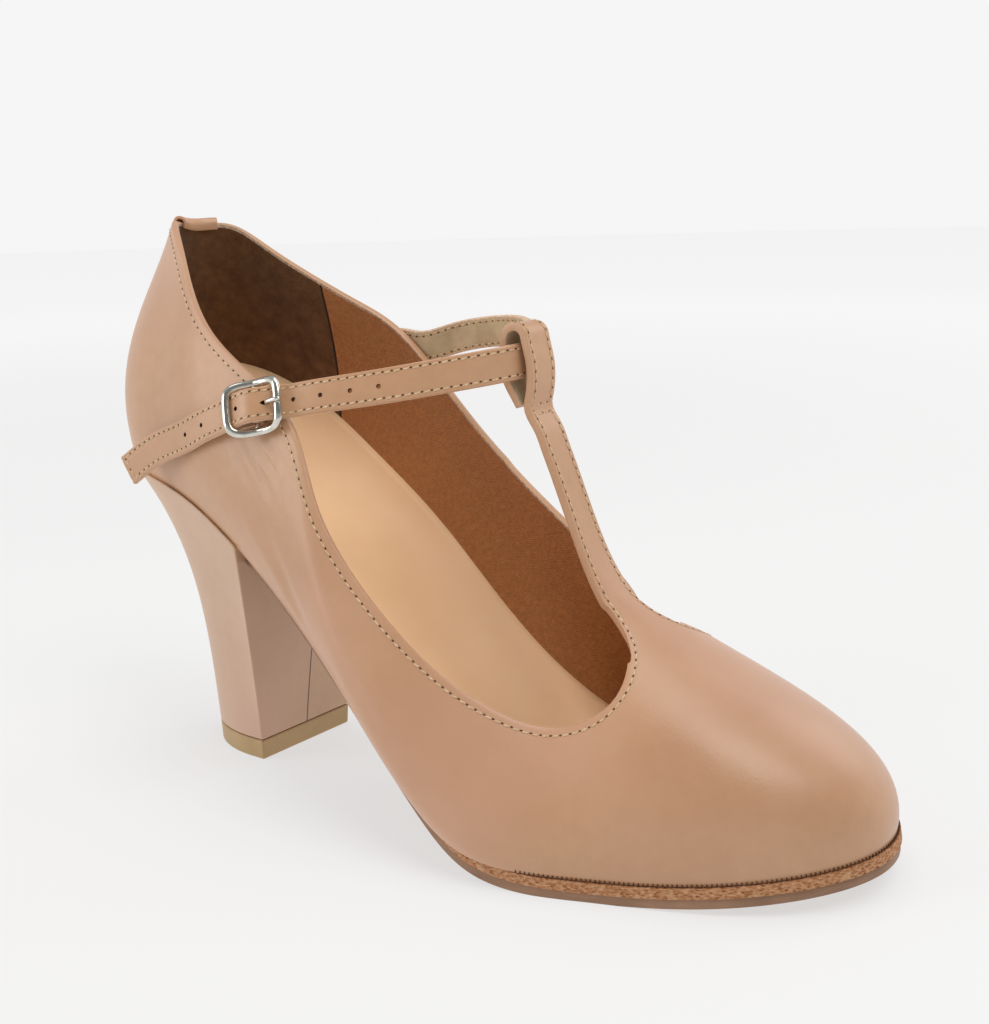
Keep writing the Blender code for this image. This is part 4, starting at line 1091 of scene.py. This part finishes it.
# %% Heel
HEEL_TIP_WIDTH = 0.0335
HEEL_TIP_LENGTH = 0.0280
TOP_PIECE_HEIGHT = 0.0053
HEEL_INSET = -0.0009
RING_POINTS = 120
HEEL_RINGS = 46
BREAST_POINTS = 26
SEAT_LAP = 0.0003


def tip_outline(grow, count):
    """The heel tip's D shape, from the outer breast corner round the back to the inner one."""
    half = HEEL_TIP_WIDTH / 2 + grow
    front = HEEL_TIP_LENGTH / 2 + grow
    straight = front - 0.16 * HEEL_TIP_LENGTH
    turns = np.linspace(0, math.pi, 120)
    arc_x = straight - (straight + HEEL_TIP_LENGTH / 2 + grow) * np.sin(turns)
    arc_y = -half * np.cos(turns)
    shape = np.vstack([(front, -half), np.column_stack([arc_x, arc_y]), (front, half)])
    return even_points(shape, count)


def seat_outline(count):
    """The heel's top edge under the seat, from the outer breast corner round the back to the inner one."""
    outer, inner = outline_sides(lambda x: np.full_like(x, -HEEL_INSET))
    outer = outer[outer[:, 0] < BREAST_TOP_X]
    inner = inner[inner[:, 0] < BREAST_TOP_X]
    corners = ((BREAST_TOP_X, outer[-1, 1]), (BREAST_TOP_X, inner[-1, 1]))
    return even_points(np.vstack([corners[0], outer[::-1], inner[1:], corners[1]]), count)


def heel_rings():
    """The heel's rings, lowest first."""
    tip = tip_outline(0.0, RING_POINTS)
    seat = seat_outline(RING_POINTS)
    start = TOP_PIECE_HEIGHT + FIT_GAP
    seat_height = feather_height(seat[:, 0]) + SEAT_LAP
    round_share = np.sin(np.linspace(0, math.pi, RING_POINTS)) ** 0.6
    rings = []
    for level in np.linspace(0, 1, HEEL_RINGS):
        corner_blend = level ** 1.1
        back_blend = 0.2 * level + 0.8 * level ** 3.4
        blend = (corner_blend * (1 - round_share) + back_blend * round_share)[:, None]
        plan = tip * (1 - blend) + seat * blend
        rings.append(np.column_stack([plan, start + (seat_height - start) * level]))
    return rings


def wound_grid(name, rings, finish, bevel):
    """A grid wound round through rings, closed at the breast and at both ends, with its sharp edges eased."""
    closed = [np.vstack([ring, np.linspace(ring[-1], ring[0], BREAST_POINTS)[1:]]) for ring in rings]
    shape = bmesh.new()
    carried_grid(shape, len(closed[0]), len(closed), lambda column, row: (closed[row][column], (0, 0)))
    bmesh.ops.remove_doubles(shape, verts=shape.verts, dist=1e-6)
    bmesh.ops.holes_fill(shape, edges=[edge for edge in shape.edges if edge.is_boundary], sides=0)
    bmesh.ops.recalc_face_normals(shape, faces=shape.faces)
    piece = finished(name, shape)
    piece.data.materials.append(finish)
    eased = piece.modifiers.new("eased_corners", "BEVEL")
    eased.limit_method = "ANGLE"
    eased.angle_limit = math.radians(50)
    eased.width = bevel
    eased.segments = 4
    piece.modifiers.new("even_shading", "WEIGHTED_NORMAL").keep_sharp = True
    return piece


heel = wound_grid("heel_block", heel_rings(), HEEL_LEATHER, 0.0005)
low_ring = np.column_stack([tip_outline(-0.0003, RING_POINTS), np.zeros(RING_POINTS)])
high_ring = np.column_stack([tip_outline(0.0, RING_POINTS), np.full(RING_POINTS, TOP_PIECE_HEIGHT + FIT_GAP * 0.4)])
top_piece = wound_grid("wear_piece", [low_ring, (low_ring + high_ring) / 2, high_ring], PLASTIC, 0.0005)
for piece, node, slot_name in ((heel, "heel", "heel_leather"), (top_piece, "top_piece", "top_plastic")):
    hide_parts(node)
    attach(piece, "root")
print("heel faces:", len(heel.data.polygons))

# %% [markdown]
# The ankle strap is two layers sewn together: tan leather outside, pale backing inside, square cut at both
# ends. It is a section carried along a smooth line: from the free end over the outer quarter, under the
# buckle's rear bar, over its middle bar, through the T-strap's loop and down on the inner quarter.

# %% Sizes of the straps and the buckle
STRAP_WIDTH = 0.0080
STRAP_THICKNESS = 0.0016
TAB_THICKNESS = 0.0008
BUCKLE_LENGTH = 0.0156
BUCKLE_TURN = math.radians(12)
BUCKLE_HEIGHT = 0.0136
BUCKLE_WIRE = 0.0015
BAR_WIRE = 0.0011
PRONG_WIRE = 0.0009
PRONG_HOLE = 0.0038
BAR_PLAY = 0.0002
BAR_LIFT = FIT_GAP + TAB_THICKNESS + FIT_GAP + BAR_WIRE / 2 + BAR_PLAY
FRAME_LIFT = BAR_LIFT + 0.0022
WRAP_RADIUS = BAR_LIFT - FIT_GAP - (TAB_THICKNESS + BAR_PLAY) / 2
STRAP_LIFT = STRAP_THICKNESS / 2 + FIT_GAP
OUTER_ROUTE = (
    ("free end", 0.0772, 0.066, 6.4), ("off the quarter", 0.1000, 0.200, 3.4),
    ("on the quarter", 0.1254, 0.379, 1.8), ("behind the buckle", 0.1487, 0.610, 2.2),
)
BUCKLE_SEAT = (0.1773, 0.8925)
INNER_ROUTE = (
    ("topline", 0.8062, 1.000, 1.5), ("on the inner quarter", 0.8295, 0.879, 1.2),
    ("stitched end", 0.8611, 0.689, 1.2),
)
OUTER_BOW = 0.0045
INNER_BOW = 0.0125
INNER_ARCH = 0.0040


def route_points(route):
    """Centres and outward directions of a route over the upper."""
    places = np.array([row[1] for row in route])
    shares = np.array([row[2] for row in route])
    outward = skin_normal(places, shares)
    return skin(places, shares) + outward * (np.array([row[3] for row in route]) * STRAP_LIFT)[:, None], outward


def buckle_axes():
    """Centre of the buckle on the quarter, and its along, across and outward directions."""
    place, share = BUCKLE_SEAT
    centre = skin([place], share)[0]
    outward = skin_normal([place], share)[0]
    along = centre - skin([OUTER_ROUTE[-1][1]], OUTER_ROUTE[-1][2])[0]
    along -= outward * along.dot(outward)
    along /= np.linalg.norm(along)
    turned = along * math.cos(BUCKLE_TURN) - outward * math.sin(BUCKLE_TURN)
    outward = outward * math.cos(BUCKLE_TURN) + along * math.sin(BUCKLE_TURN)
    return centre, turned, np.cross(outward, turned), outward


BUCKLE_CENTRE, ALONG, ACROSS, OUTWARD = buckle_axes()


def at_buckle(along, across, lift):
    """A point in the buckle's own directions."""
    return BUCKLE_CENTRE + ALONG * along + ACROSS * across + OUTWARD * lift


def strap_curve(samples):
    """The ankle strap's centre line: free end, outer quarter, buckle, loop, inner quarter."""
    outer, outer_normals = route_points(OUTER_ROUTE)
    inner, inner_normals = route_points(INNER_ROUTE)
    held = LOOP_CENTRE + np.array([LOOP_RADIUS - UPPER_WALL - STRAP_LIFT - FIT_GAP, 0.0, -0.0048])
    under_bar = FRAME_LIFT - (BUCKLE_WIRE + STRAP_THICKNESS) / 2 - 2 * FIT_GAP
    over_bar = BAR_LIFT + WRAP_RADIUS + TAB_THICKNESS / 2 + FIT_GAP + STRAP_THICKNESS / 2
    half_length = (BUCKLE_LENGTH - BUCKLE_WIRE) / 2
    buckled = [at_buckle(along, 0.0, lift) for along, lift in
               ((-half_length, under_bar), (0.0, over_bar), (half_length, under_bar))]
    points = [*outer, *buckled]
    normals = [*outer_normals, *[OUTWARD] * len(buckled)]
    leaving = buckled[-1]
    in_loop = T_STRAP_WIDTH * 0.55
    entering = held + np.array([-0.0003, -in_loop, -0.0002])
    for share in (0.12, 0.3, 0.55, 0.78):
        points.append(leaving + (entering - leaving) * share
                      + np.array([0.4, -0.9, 0.0]) * OUTER_BOW * math.sin(math.pi * share ** 1.3))
        normals.append(OUTWARD * (1 - share) + np.array([0.82, -0.5, 0.15]) * share)
    passing = held + np.array([-0.0003, in_loop, 0.0002])
    points.extend([entering, held, passing])
    normals.extend([np.array([1.0, -0.15, 0.05]), np.array([1.0, 0.0, 0.05]), np.array([1.0, 0.15, 0.05])])
    for share in (0.14, 0.38, 0.62, 0.82):
        bow = math.sin(math.pi * share ** 0.85)
        points.append(passing + (inner[0] - passing) * share + np.array([0.0, INNER_BOW, INNER_ARCH]) * bow)
        normals.append(np.array([0.85, 0.5, 0.15]) * (1 - share) + inner_normals[0] * share)
    points.extend(inner)
    normals.extend(inner_normals)
    points = np.array(points)
    reached = np.concatenate([[0], np.cumsum(np.linalg.norm(np.diff(points, axis=0), axis=1))])
    line = Spline(reached, points)
    lean = Spline(reached, np.array(normals))
    places = np.linspace(0, reached[-1], samples)
    outward = lean(places)
    return line(places), outward / np.linalg.norm(outward, axis=1)[:, None]


STRAP_PATH, STRAP_OUT = strap_curve(420)
STRAP_REACHED = np.concatenate([[0], np.cumsum(np.linalg.norm(np.diff(STRAP_PATH, axis=0), axis=1))])
print("ankle strap:", round(STRAP_REACHED[-1] * 1000), "mm long")


# %% A section carried along a line
def frames_along(path, outward, closed=False):
    """Across and up directions at each point of a path."""
    ahead = np.roll(path, -1, axis=0) - np.roll(path, 1, axis=0) if closed else np.gradient(path, axis=0)
    ahead = ahead / np.linalg.norm(ahead, axis=1)[:, None]
    across = np.cross(outward, ahead)
    across /= np.linalg.norm(across, axis=1)[:, None]
    return across, np.cross(ahead, across)


def swept(path, outward, section, closed=False, finish_of_side=None, taper=None):
    """A bmesh of a section carried along a path, its ends filled unless the path is closed."""
    across, upward = frames_along(path, outward, closed)
    scale = np.ones(len(path)) if taper is None else taper
    if closed:
        order = [*range(len(path)), 0]
    else:
        order = list(range(len(path)))
    ring = np.vstack([section, section[:1]])

    def carry(column, row):
        here = order[column]
        spot = path[here] + across[here] * ring[row, 0] * scale[here] + upward[here] * ring[row, 1] * scale[here]
        return spot, (column, row)

    shape = bmesh.new()
    side_uv = shape.loops.layers.uv.new("side")
    carried_grid(shape, len(order), len(ring), carry, side_uv)
    if finish_of_side:
        for face in shape.faces:
            face.material_index = finish_of_side[int(min(corner[side_uv].uv.y for corner in face.loops) + 0.5)]
    bmesh.ops.remove_doubles(shape, verts=shape.verts, dist=1e-6)
    open_edges = [edge for edge in shape.edges if edge.is_boundary]
    if open_edges:
        bmesh.ops.holes_fill(shape, edges=open_edges, sides=0)
    bmesh.ops.recalc_face_normals(shape, faces=shape.faces)
    return shape


def strap_section(width, thickness, seam_inset, seam_depth):
    """A strap's section: eased edges, and a shallow dip along each row of stitches."""
    ease = thickness * 0.32
    half_width, half_thickness = width / 2, thickness / 2
    face_y = np.linspace(-half_width + ease, half_width - ease, 13)
    dip = seam_depth * np.exp(-((np.abs(face_y) - half_width + seam_inset) / 0.00045) ** 2)
    top_face = np.column_stack([face_y, half_thickness - dip])
    turns = np.radians((67, 45, 22))
    right = np.column_stack([half_width - ease + ease * np.cos(turns), half_thickness - ease + ease * np.sin(turns)])
    edge = [(half_width, half_thickness - ease), (half_width, -half_thickness + ease)]
    low_right = right[::-1] * (1, -1)
    right_side = np.vstack([right, edge, low_right])
    bottom_face = top_face[::-1] * (1, -1)
    left_side = right_side[::-1] * (-1, 1)
    section = np.vstack([top_face, right_side, bottom_face, left_side])
    sides = [0] * (len(top_face) + 3) + [1] + [1] * 4 + [2] * (len(bottom_face) - 1) + [1] * 5 + [0] * 3
    return section, (sides + [0] * len(section))[:len(section)]


STRAP_SEAM_INSET = 0.0011
STRAP_FACE, STRAP_SIDES = strap_section(STRAP_WIDTH, STRAP_THICKNESS, STRAP_SEAM_INSET, 0.00012)
strap_shape = swept(STRAP_PATH, STRAP_OUT, STRAP_FACE, finish_of_side=STRAP_SIDES)
ankle_strap = finished("ankle_strap_leather", strap_shape)
for finish in (TAN_LEATHER, CUT_EDGE, STRAP_BACKING, HOLE_SHADE_AND_DARK_THREAD):
    ankle_strap.data.materials.append(finish)
print("ankle strap faces:", len(ankle_strap.data.polygons))

# %% [markdown]
# The strap's holes are punched through, one step of the punch apart, and the one that the prong passes is
# pulled long. Punches are short cylinders; an exact Boolean cuts them all at once, and the result is kept. The
# holes' walls are dark brown, painted shade inside the holes.

# %% Punched holes
HOLE_WIDTH = 0.00110
PRONG_PULL = 2.0
HOLE_PLACES = (0.0271, 0.0343, 0.0487, 0.0631, 0.0703, 0.0775, 0.0847)


def beside_path(reached, path, outward, place):
    """The nearest sample of a path at a length along it: centre, ahead, outward."""
    index = int(np.clip(np.searchsorted(reached, place), 1, len(path) - 2))
    ahead = path[index + 1] - path[index - 1]
    return Vector(path[index]), Vector(ahead).normalized(), Vector(outward[index]).normalized()


def standing(centre, ahead, upward, along=1.0, across=1.0, high=1.0):
    """A transform whose X runs ahead and Z upward, scaled along each."""
    side = upward.cross(ahead).normalized()
    ahead = side.cross(upward).normalized()
    turned = Matrix((ahead * along, side * across, upward * high)).transposed().to_4x4()
    return Matrix.Translation(centre) @ turned


punches = bmesh.new()
prong_hole = Vector(at_buckle(PRONG_HOLE, 0.0, BAR_LIFT + 0.0014))
punch_rows = [(*beside_path(STRAP_REACHED, STRAP_PATH, STRAP_OUT, place), 1.0) for place in HOLE_PLACES]
punch_rows.append((prong_hole, Vector(ALONG), Vector(OUTWARD), PRONG_PULL))
for centre, ahead, upward, pull in punch_rows:
    bmesh.ops.create_cone(punches, cap_ends=True, segments=24, radius1=HOLE_WIDTH / 2, radius2=HOLE_WIDTH / 2,
                          depth=0.005, matrix=standing(centre, ahead, upward, along=pull))
# the punches' faces become the holes' walls, painted dark brown as shade inside the holes
for face in punches.faces:
    face.material_index = 3
bmesh.ops.recalc_face_normals(punches, faces=punches.faces)
cutter = finished("punches", punches)
for finish in (TAN_LEATHER, CUT_EDGE, STRAP_BACKING, HOLE_SHADE_AND_DARK_THREAD):
    cutter.data.materials.append(finish)


def keep_result(piece, helper=None):
    """Bakes a piece's modifiers into its mesh and removes the helper."""
    graph = bpy.context.evaluated_depsgraph_get()
    baked = bpy.data.meshes.new_from_object(piece.evaluated_get(graph))
    piece.modifiers.clear()
    piece.data = baked
    if helper:
        bpy.data.objects.remove(helper, do_unlink=True)


cut = ankle_strap.modifiers.new("holes", "BOOLEAN")
cut.operation = "DIFFERENCE"
cut.solver = "EXACT"
cut.object = cutter
keep_result(ankle_strap, cutter)
ankle_strap.data.set_sharp_from_angle(angle=math.radians(38))
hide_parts("ankle_strap")
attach(ankle_strap, "root")
print("holes:", len(punch_rows), "strap faces now:", len(ankle_strap.data.polygons))

# %% [markdown]
# The buckle is a rounded rectangle of plated wire, flattened a little and bowed over the strap. Its prong is
# hooked round the middle bar, comes up through the long hole and rests on the front of the frame.

# %% Buckle frame and bar
FRAME_SAMPLES = 120


def oval_section(across, high, sides):
    """A wire's oval section."""
    turns = np.arange(sides) * 2 * math.pi / sides
    return np.column_stack([np.cos(turns) * across / 2, np.sin(turns) * high / 2])


FRAME_WIDE = 0.0021
FRAME_THICK = 0.0015
frame_half = (BUCKLE_LENGTH - FRAME_WIDE) / 2
frame_high = (BUCKLE_HEIGHT - FRAME_WIDE) / 2
frame_points = []
for angle in np.arange(FRAME_SAMPLES) * 2 * math.pi / FRAME_SAMPLES:
    along = frame_half * math.copysign(abs(math.cos(angle)) ** 0.42, math.cos(angle))
    across = frame_high * math.copysign(abs(math.sin(angle)) ** 0.42, math.sin(angle))
    lift = BAR_LIFT + (FRAME_LIFT - BAR_LIFT) * (along / frame_half) ** 2
    frame_points.append(at_buckle(along, across, lift))
frame_line = np.vstack([frame_points, frame_points[:1]])
frame_line = even_points(frame_line, FRAME_SAMPLES + 1)[:-1]
frame_section = oval_section(FRAME_WIDE, FRAME_THICK, 16)
frame_shape = swept(frame_line, np.tile(OUTWARD, (FRAME_SAMPLES, 1)), frame_section, closed=True)
bar_line = np.array([at_buckle(0.0, across, BAR_LIFT) for across in np.linspace(-frame_high, frame_high, 12)])
bar_shape = swept(bar_line, np.tile(OUTWARD, (12, 1)), oval_section(BAR_WIRE, BAR_WIRE, 14))
bar_mesh = bpy.data.meshes.new("middle_bar")
bar_shape.to_mesh(bar_mesh)
bar_shape.free()
frame_shape.from_mesh(bar_mesh)
buckle = finished("buckle_with_bar", frame_shape)
buckle.data.materials.append(PLATE)
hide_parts("buckle_frame")
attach(buckle, "root")
print("buckle faces:", len(buckle.data.polygons))

# %% Prong
eye = (BAR_WIRE + PRONG_WIRE) / 2 + FIT_GAP
prong_route = [(eye * math.cos(angle), BAR_LIFT + eye * math.sin(angle))
               for angle in np.radians((170, 200, 230, 260, 290, 320, 350))]
front = (BUCKLE_LENGTH - BUCKLE_WIRE) / 2
rest = FRAME_LIFT + (BUCKLE_WIRE + PRONG_WIRE) / 2 + FIT_GAP * 0.4
prong_route += [(PRONG_HOLE - 0.0014, BAR_LIFT + 0.0003), (PRONG_HOLE - 0.0002, BAR_LIFT + 0.0018),
                (PRONG_HOLE + 0.0008, rest - 0.0006), (front, rest), (front + 0.0011, rest - 0.0002)]
prong_curve = Spline(np.arange(len(prong_route)), np.array(prong_route))(np.linspace(0, len(prong_route) - 1, 70))
prong_line = np.array([at_buckle(along, 0.0, lift) for along, lift in prong_curve])
prong_taper = np.interp(np.arange(70), (0, 3, 52, 66, 69), (0.7, 1.0, 1.0, 0.85, 0.45))
prong_shape = swept(prong_line, np.tile(ACROSS, (70, 1)), oval_section(0.0010, 0.0011, 14), taper=prong_taper)
prong = finished("prong_wire", prong_shape)
prong.data.materials.append(PLATE)
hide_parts("buckle_prong")
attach(prong, "root")
print("prong faces:", len(prong.data.polygons))

# %% [markdown]
# Two small tabs are left. The one round the buckle's bar lies hidden under the strap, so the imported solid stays
# and only gets its leather. The one over the topline at the back is folded leather and stands in plain view,
# so it is made finer: a folded strip's section carried along the back of the topline.

# %% Tabs
tab_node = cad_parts["buckle_tab"]
for index in range(max(1, len(tab_node.material_slots))):
    if tab_node.material_slots:
        tab_node.material_slots[index].material = TAN_LEATHER
    else:
        tab_node.data.materials.append(TAN_LEATHER)
HEEL_TAB_WIDTH = 0.0125
HEEL_TAB_DROP = 0.0035
HEEL_TAB_INNER_DROP = 0.0013
HEEL_TAB_THICKNESS = 0.0008


def folded_profile():
    """Middle line of the folded tab: outwards from the wall's middle, and up from the topline."""
    reach = UPPER_WALL / 2 + FIT_GAP * 0.5 + HEEL_TAB_THICKNESS / 2
    points = [(reach, -HEEL_TAB_DROP), (reach, -HEEL_TAB_DROP * 0.5)]
    points += [(reach * math.cos(angle), reach * 0.8 * math.sin(angle)) for angle in np.linspace(0, math.pi, 17)]
    points += [(-reach, -HEEL_TAB_INNER_DROP * 0.5), (-reach, -HEEL_TAB_INNER_DROP)]
    return np.array(points)


profile = folded_profile()
profile_ahead = np.gradient(profile, axis=0)
profile_ahead /= np.linalg.norm(profile_ahead, axis=1)[:, None]
profile_side = np.column_stack([profile_ahead[:, 1], -profile_ahead[:, 0]]) * HEEL_TAB_THICKNESS / 2
tab_ring = np.vstack([profile - profile_side, (profile + profile_side)[::-1], (profile - profile_side)[:1]])
girth = np.linalg.norm(skin([0.01], 1.0) - skin([0.99], 1.0)) / 0.02
tab_places = np.linspace(-HEEL_TAB_WIDTH / 2, HEEL_TAB_WIDTH / 2, 33) / girth
tab_edge = skin(tab_places, 1.0)
tab_out = skin_normal(tab_places, np.full(33, 0.995))
tab_rise = tab_edge - skin(tab_places, 0.99)
tab_rise /= np.linalg.norm(tab_rise, axis=1)[:, None]


def carry_tab(column, row):
    """Where a vertex of the folded tab goes."""
    middle = tab_edge[column] - tab_out[column] * UPPER_WALL / 2
    return middle + tab_out[column] * tab_ring[row, 0] + tab_rise[column] * tab_ring[row, 1], (0, 0)


tab_shape = bmesh.new()
carried_grid(tab_shape, 33, len(tab_ring), carry_tab)
bmesh.ops.remove_doubles(tab_shape, verts=tab_shape.verts, dist=1e-6)
bmesh.ops.holes_fill(tab_shape, edges=[edge for edge in tab_shape.edges if edge.is_boundary], sides=0)
bmesh.ops.recalc_face_normals(tab_shape, faces=tab_shape.faces)
heel_tab = finished("folded_back_tab", tab_shape)
heel_tab.data.materials.append(TAN_LEATHER)
tab_eased = heel_tab.modifiers.new("eased_edges", "BEVEL")
tab_eased.limit_method = "ANGLE"
tab_eased.angle_limit = math.radians(50)
tab_eased.width = 0.0002
tab_eased.segments = 2
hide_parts("heel_tab")
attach(heel_tab, "root")
print("tab faces:", len(heel_tab.data.polygons))

# %% [markdown]
# Stitches are what shows that a strap is sewn. Each is a small grain of thread lying in a needle's dent, with
# a flat dark disc at its end, painted shade for the needle hole. They are laid one by one along a line that runs a
# set distance inside the edge: the line is found on the leather itself, by the nearest spot of the surface.

# %% Stitch rows
STITCH_PITCH = 0.0022
STITCH_LENGTH = 0.00165
THREAD_WIDTH = 0.00050


def lay_stitches(shape, line, outward, pitch=STITCH_PITCH, length=STITCH_LENGTH, width=THREAD_WIDTH, holes=True):
    """Lays threads along a line, each with a flat dark disc of painted shade for its needle hole unless holes is off;
    outward holds the surface's direction at each point.
    """
    reached = np.concatenate([[0], np.cumsum(np.linalg.norm(np.diff(line, axis=0), axis=1))])
    count = int(reached[-1] // pitch)
    for place in (np.arange(count) + 0.5) * reached[-1] / count:
        centre = Vector([np.interp(place, reached, line[:, axis]) for axis in range(3)])
        upward = Vector([np.interp(place, reached, outward[:, axis]) for axis in range(3)]).normalized()
        ahead = Vector([np.interp(place + 2e-4, reached, line[:, axis]) for axis in range(3)]) \
            - Vector([np.interp(place - 2e-4, reached, line[:, axis]) for axis in range(3)])
        if ahead.length < 1e-9:
            continue
        ahead = (Matrix.Rotation(math.radians(7), 3, upward) @ ahead).normalized()
        thread = bmesh.ops.create_icosphere(shape, subdivisions=2, radius=1.0, matrix=standing(
            centre + upward * 0.00004, ahead, upward, length / 2, width / 2, width * 0.36))
        for vertex in thread["verts"]:
            for face in vertex.link_faces:
                face.material_index = 0
        if not holes:
            continue
        # the needle hole is a flat dark disc on the leather: painted shade where a hole would be
        hole_shade_disc = bmesh.ops.create_circle(shape, cap_ends=True, segments=10, radius=1.0, matrix=standing(
            centre + ahead * pitch / 2 + upward * 0.00005, ahead, upward, 0.00032, 0.00022, 1.0))
        for vertex in hole_shade_disc["verts"]:
            for face in vertex.link_faces:
                face.material_index = 1
    return count


def sewn(name, shape, thread=THREAD):
    """The object of a set of stitches."""
    piece = finished(name, shape)
    piece.data.materials.append(thread)
    piece.data.materials.append(HOLE_SHADE_AND_DARK_THREAD)
    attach(piece, "root")
    return piece


# %% Stitches of the ankle strap
strap_across, strap_up = frames_along(STRAP_PATH, STRAP_OUT)
strap_stitches = bmesh.new()
half_seam = STRAP_WIDTH / 2 - STRAP_SEAM_INSET
END_INSET = 0.0014
inside_ends = (STRAP_REACHED > END_INSET) & (STRAP_REACHED < STRAP_REACHED[-1] - END_INSET)
laid = 0
for face_side in (1, -1):
    for edge_side in (1, -1):
        seam_line = STRAP_PATH + strap_across * half_seam * edge_side \
            + strap_up * face_side * (STRAP_THICKNESS / 2 - 0.00010)
        laid += lay_stitches(strap_stitches, seam_line[inside_ends], (strap_up * face_side)[inside_ends])
free_end = int(np.searchsorted(STRAP_REACHED, END_INSET))
across_end = np.array([STRAP_PATH[free_end] + strap_across[free_end] * side + strap_up[free_end] *
                       STRAP_THICKNESS / 2 for side in np.linspace(-half_seam, half_seam, 9)])
laid += lay_stitches(strap_stitches, across_end, np.tile(strap_up[free_end], (9, 1)))
sewn("ankle_strap_stitches", strap_stitches)
print("stitches on the ankle strap:", laid)

# %% Stitches of the topline and the T-strap
TOPLINE_INSET = 0.0021
T_STRAP_INSET = 0.0012
skin_mesh = upper.data
skin_tree = BVHTree.FromPolygons([vertex.co for vertex in skin_mesh.vertices],
                                 [tuple(face.vertices) for face in skin_mesh.polygons])
inner_side = np.array([row[-1] for row in t_strap_points[::-1]])
outer_side = np.array([row[0] for row in t_strap_points])
middle_line = np.array([row[len(ROOT_PLACES) // 2] for row in t_strap_points])
body_edge = np.array(body_points[-1][:len(BODY_PLACES)])
body_lower = np.array(body_points[-4][:len(BODY_PLACES)])
edge_line = np.vstack([inner_side[:-1], body_edge, outer_side[1:]])
inside_line = np.vstack([middle_line[::-1][:-1], body_lower, middle_line[1:]])
strap_rows = len(inner_side) - 1
inset = np.concatenate([np.full(strap_rows, T_STRAP_INSET), np.full(len(body_edge), TOPLINE_INSET),
                        np.full(strap_rows, T_STRAP_INSET)])
inset = np.convolve(np.pad(inset, 9, mode="edge"), np.ones(19) / 19, mode="valid")
laid_points = []
edge_ahead = np.gradient(edge_line, axis=0)
for spot, ahead, inside, distance in zip(edge_line, edge_ahead, inside_line, inset):
    _, normal, _, _ = skin_tree.find_nearest(Vector(spot))
    inward = normal.cross(Vector(ahead)).normalized()
    if inward.dot(Vector(inside - spot)) < 0:
        inward = -inward
    laid_points.append(skin_tree.find_nearest(Vector(spot) + inward * float(distance))[0])
SMOOTHED_OVER = 5
evened = np.pad(np.array(laid_points), ((SMOOTHED_OVER // 2, SMOOTHED_OVER // 2), (0, 0)), mode="edge")
evened = np.column_stack([np.convolve(evened[:, axis], np.ones(SMOOTHED_OVER) / SMOOTHED_OVER, mode="valid")
                          for axis in range(3)])
on_skin = [skin_tree.find_nearest(Vector(spot))[:2] for spot in evened]
seam_points = np.array([spot for spot, _ in on_skin])
seam_out = np.array([normal for _, normal in on_skin])
upper_stitches = bmesh.new()
laid = lay_stitches(upper_stitches, seam_points, seam_out)
cross_rows = [row for row in (int(np.searchsorted(T_PLACES, COARSE_REACHED[12] - step)) for step in (0.0005, 0.0031))]
for row in cross_rows:
    across_points = np.array(t_strap_points[row])[3:-3]
    across_out = np.array([skin_tree.find_nearest(Vector(point))[1] for point in across_points])
    laid += lay_stitches(upper_stitches, across_points, across_out, pitch=0.0017, length=0.0013)
sewn("upper_stitches", upper_stitches)
print("stitches on the upper:", laid)

# %% [markdown]
# Where the upper meets the middle layer, the seam that holds them shows as a row of short dark ticks in the
# corner between them. They stand upright and close together, from the outer shank round the toe.

# %% Ticks of the sole's seam
TICK_PITCH = 0.0010
TICK_HEIGHT = 0.0007
TICK_LENGTH = 0.00034
TICKS_FROM = 0.112
tick_outer, tick_inner = outline_sides(lambda x: np.full_like(x, 0.00025))
tick_plan = np.vstack([tick_outer[tick_outer[:, 0] > TICKS_FROM], tick_inner[tick_inner[:, 0] > TICKS_FROM][::-1]])
tick_line = np.column_stack([tick_plan, feather_height(tick_plan[:, 0]) + TICK_HEIGHT / 2])
tick_run = np.gradient(tick_plan, axis=0)
tick_out = np.column_stack([tick_run[:, 1], -tick_run[:, 0], np.zeros(len(tick_plan))])
sole_ticks = bmesh.new()
laid = lay_stitches(sole_ticks, tick_line, tick_out, TICK_PITCH, TICK_LENGTH, TICK_HEIGHT, holes=False)
sewn("sole_seam_ticks", sole_ticks, thread=HOLE_SHADE_AND_DARK_THREAD)
print("ticks:", laid)

# %% [markdown]
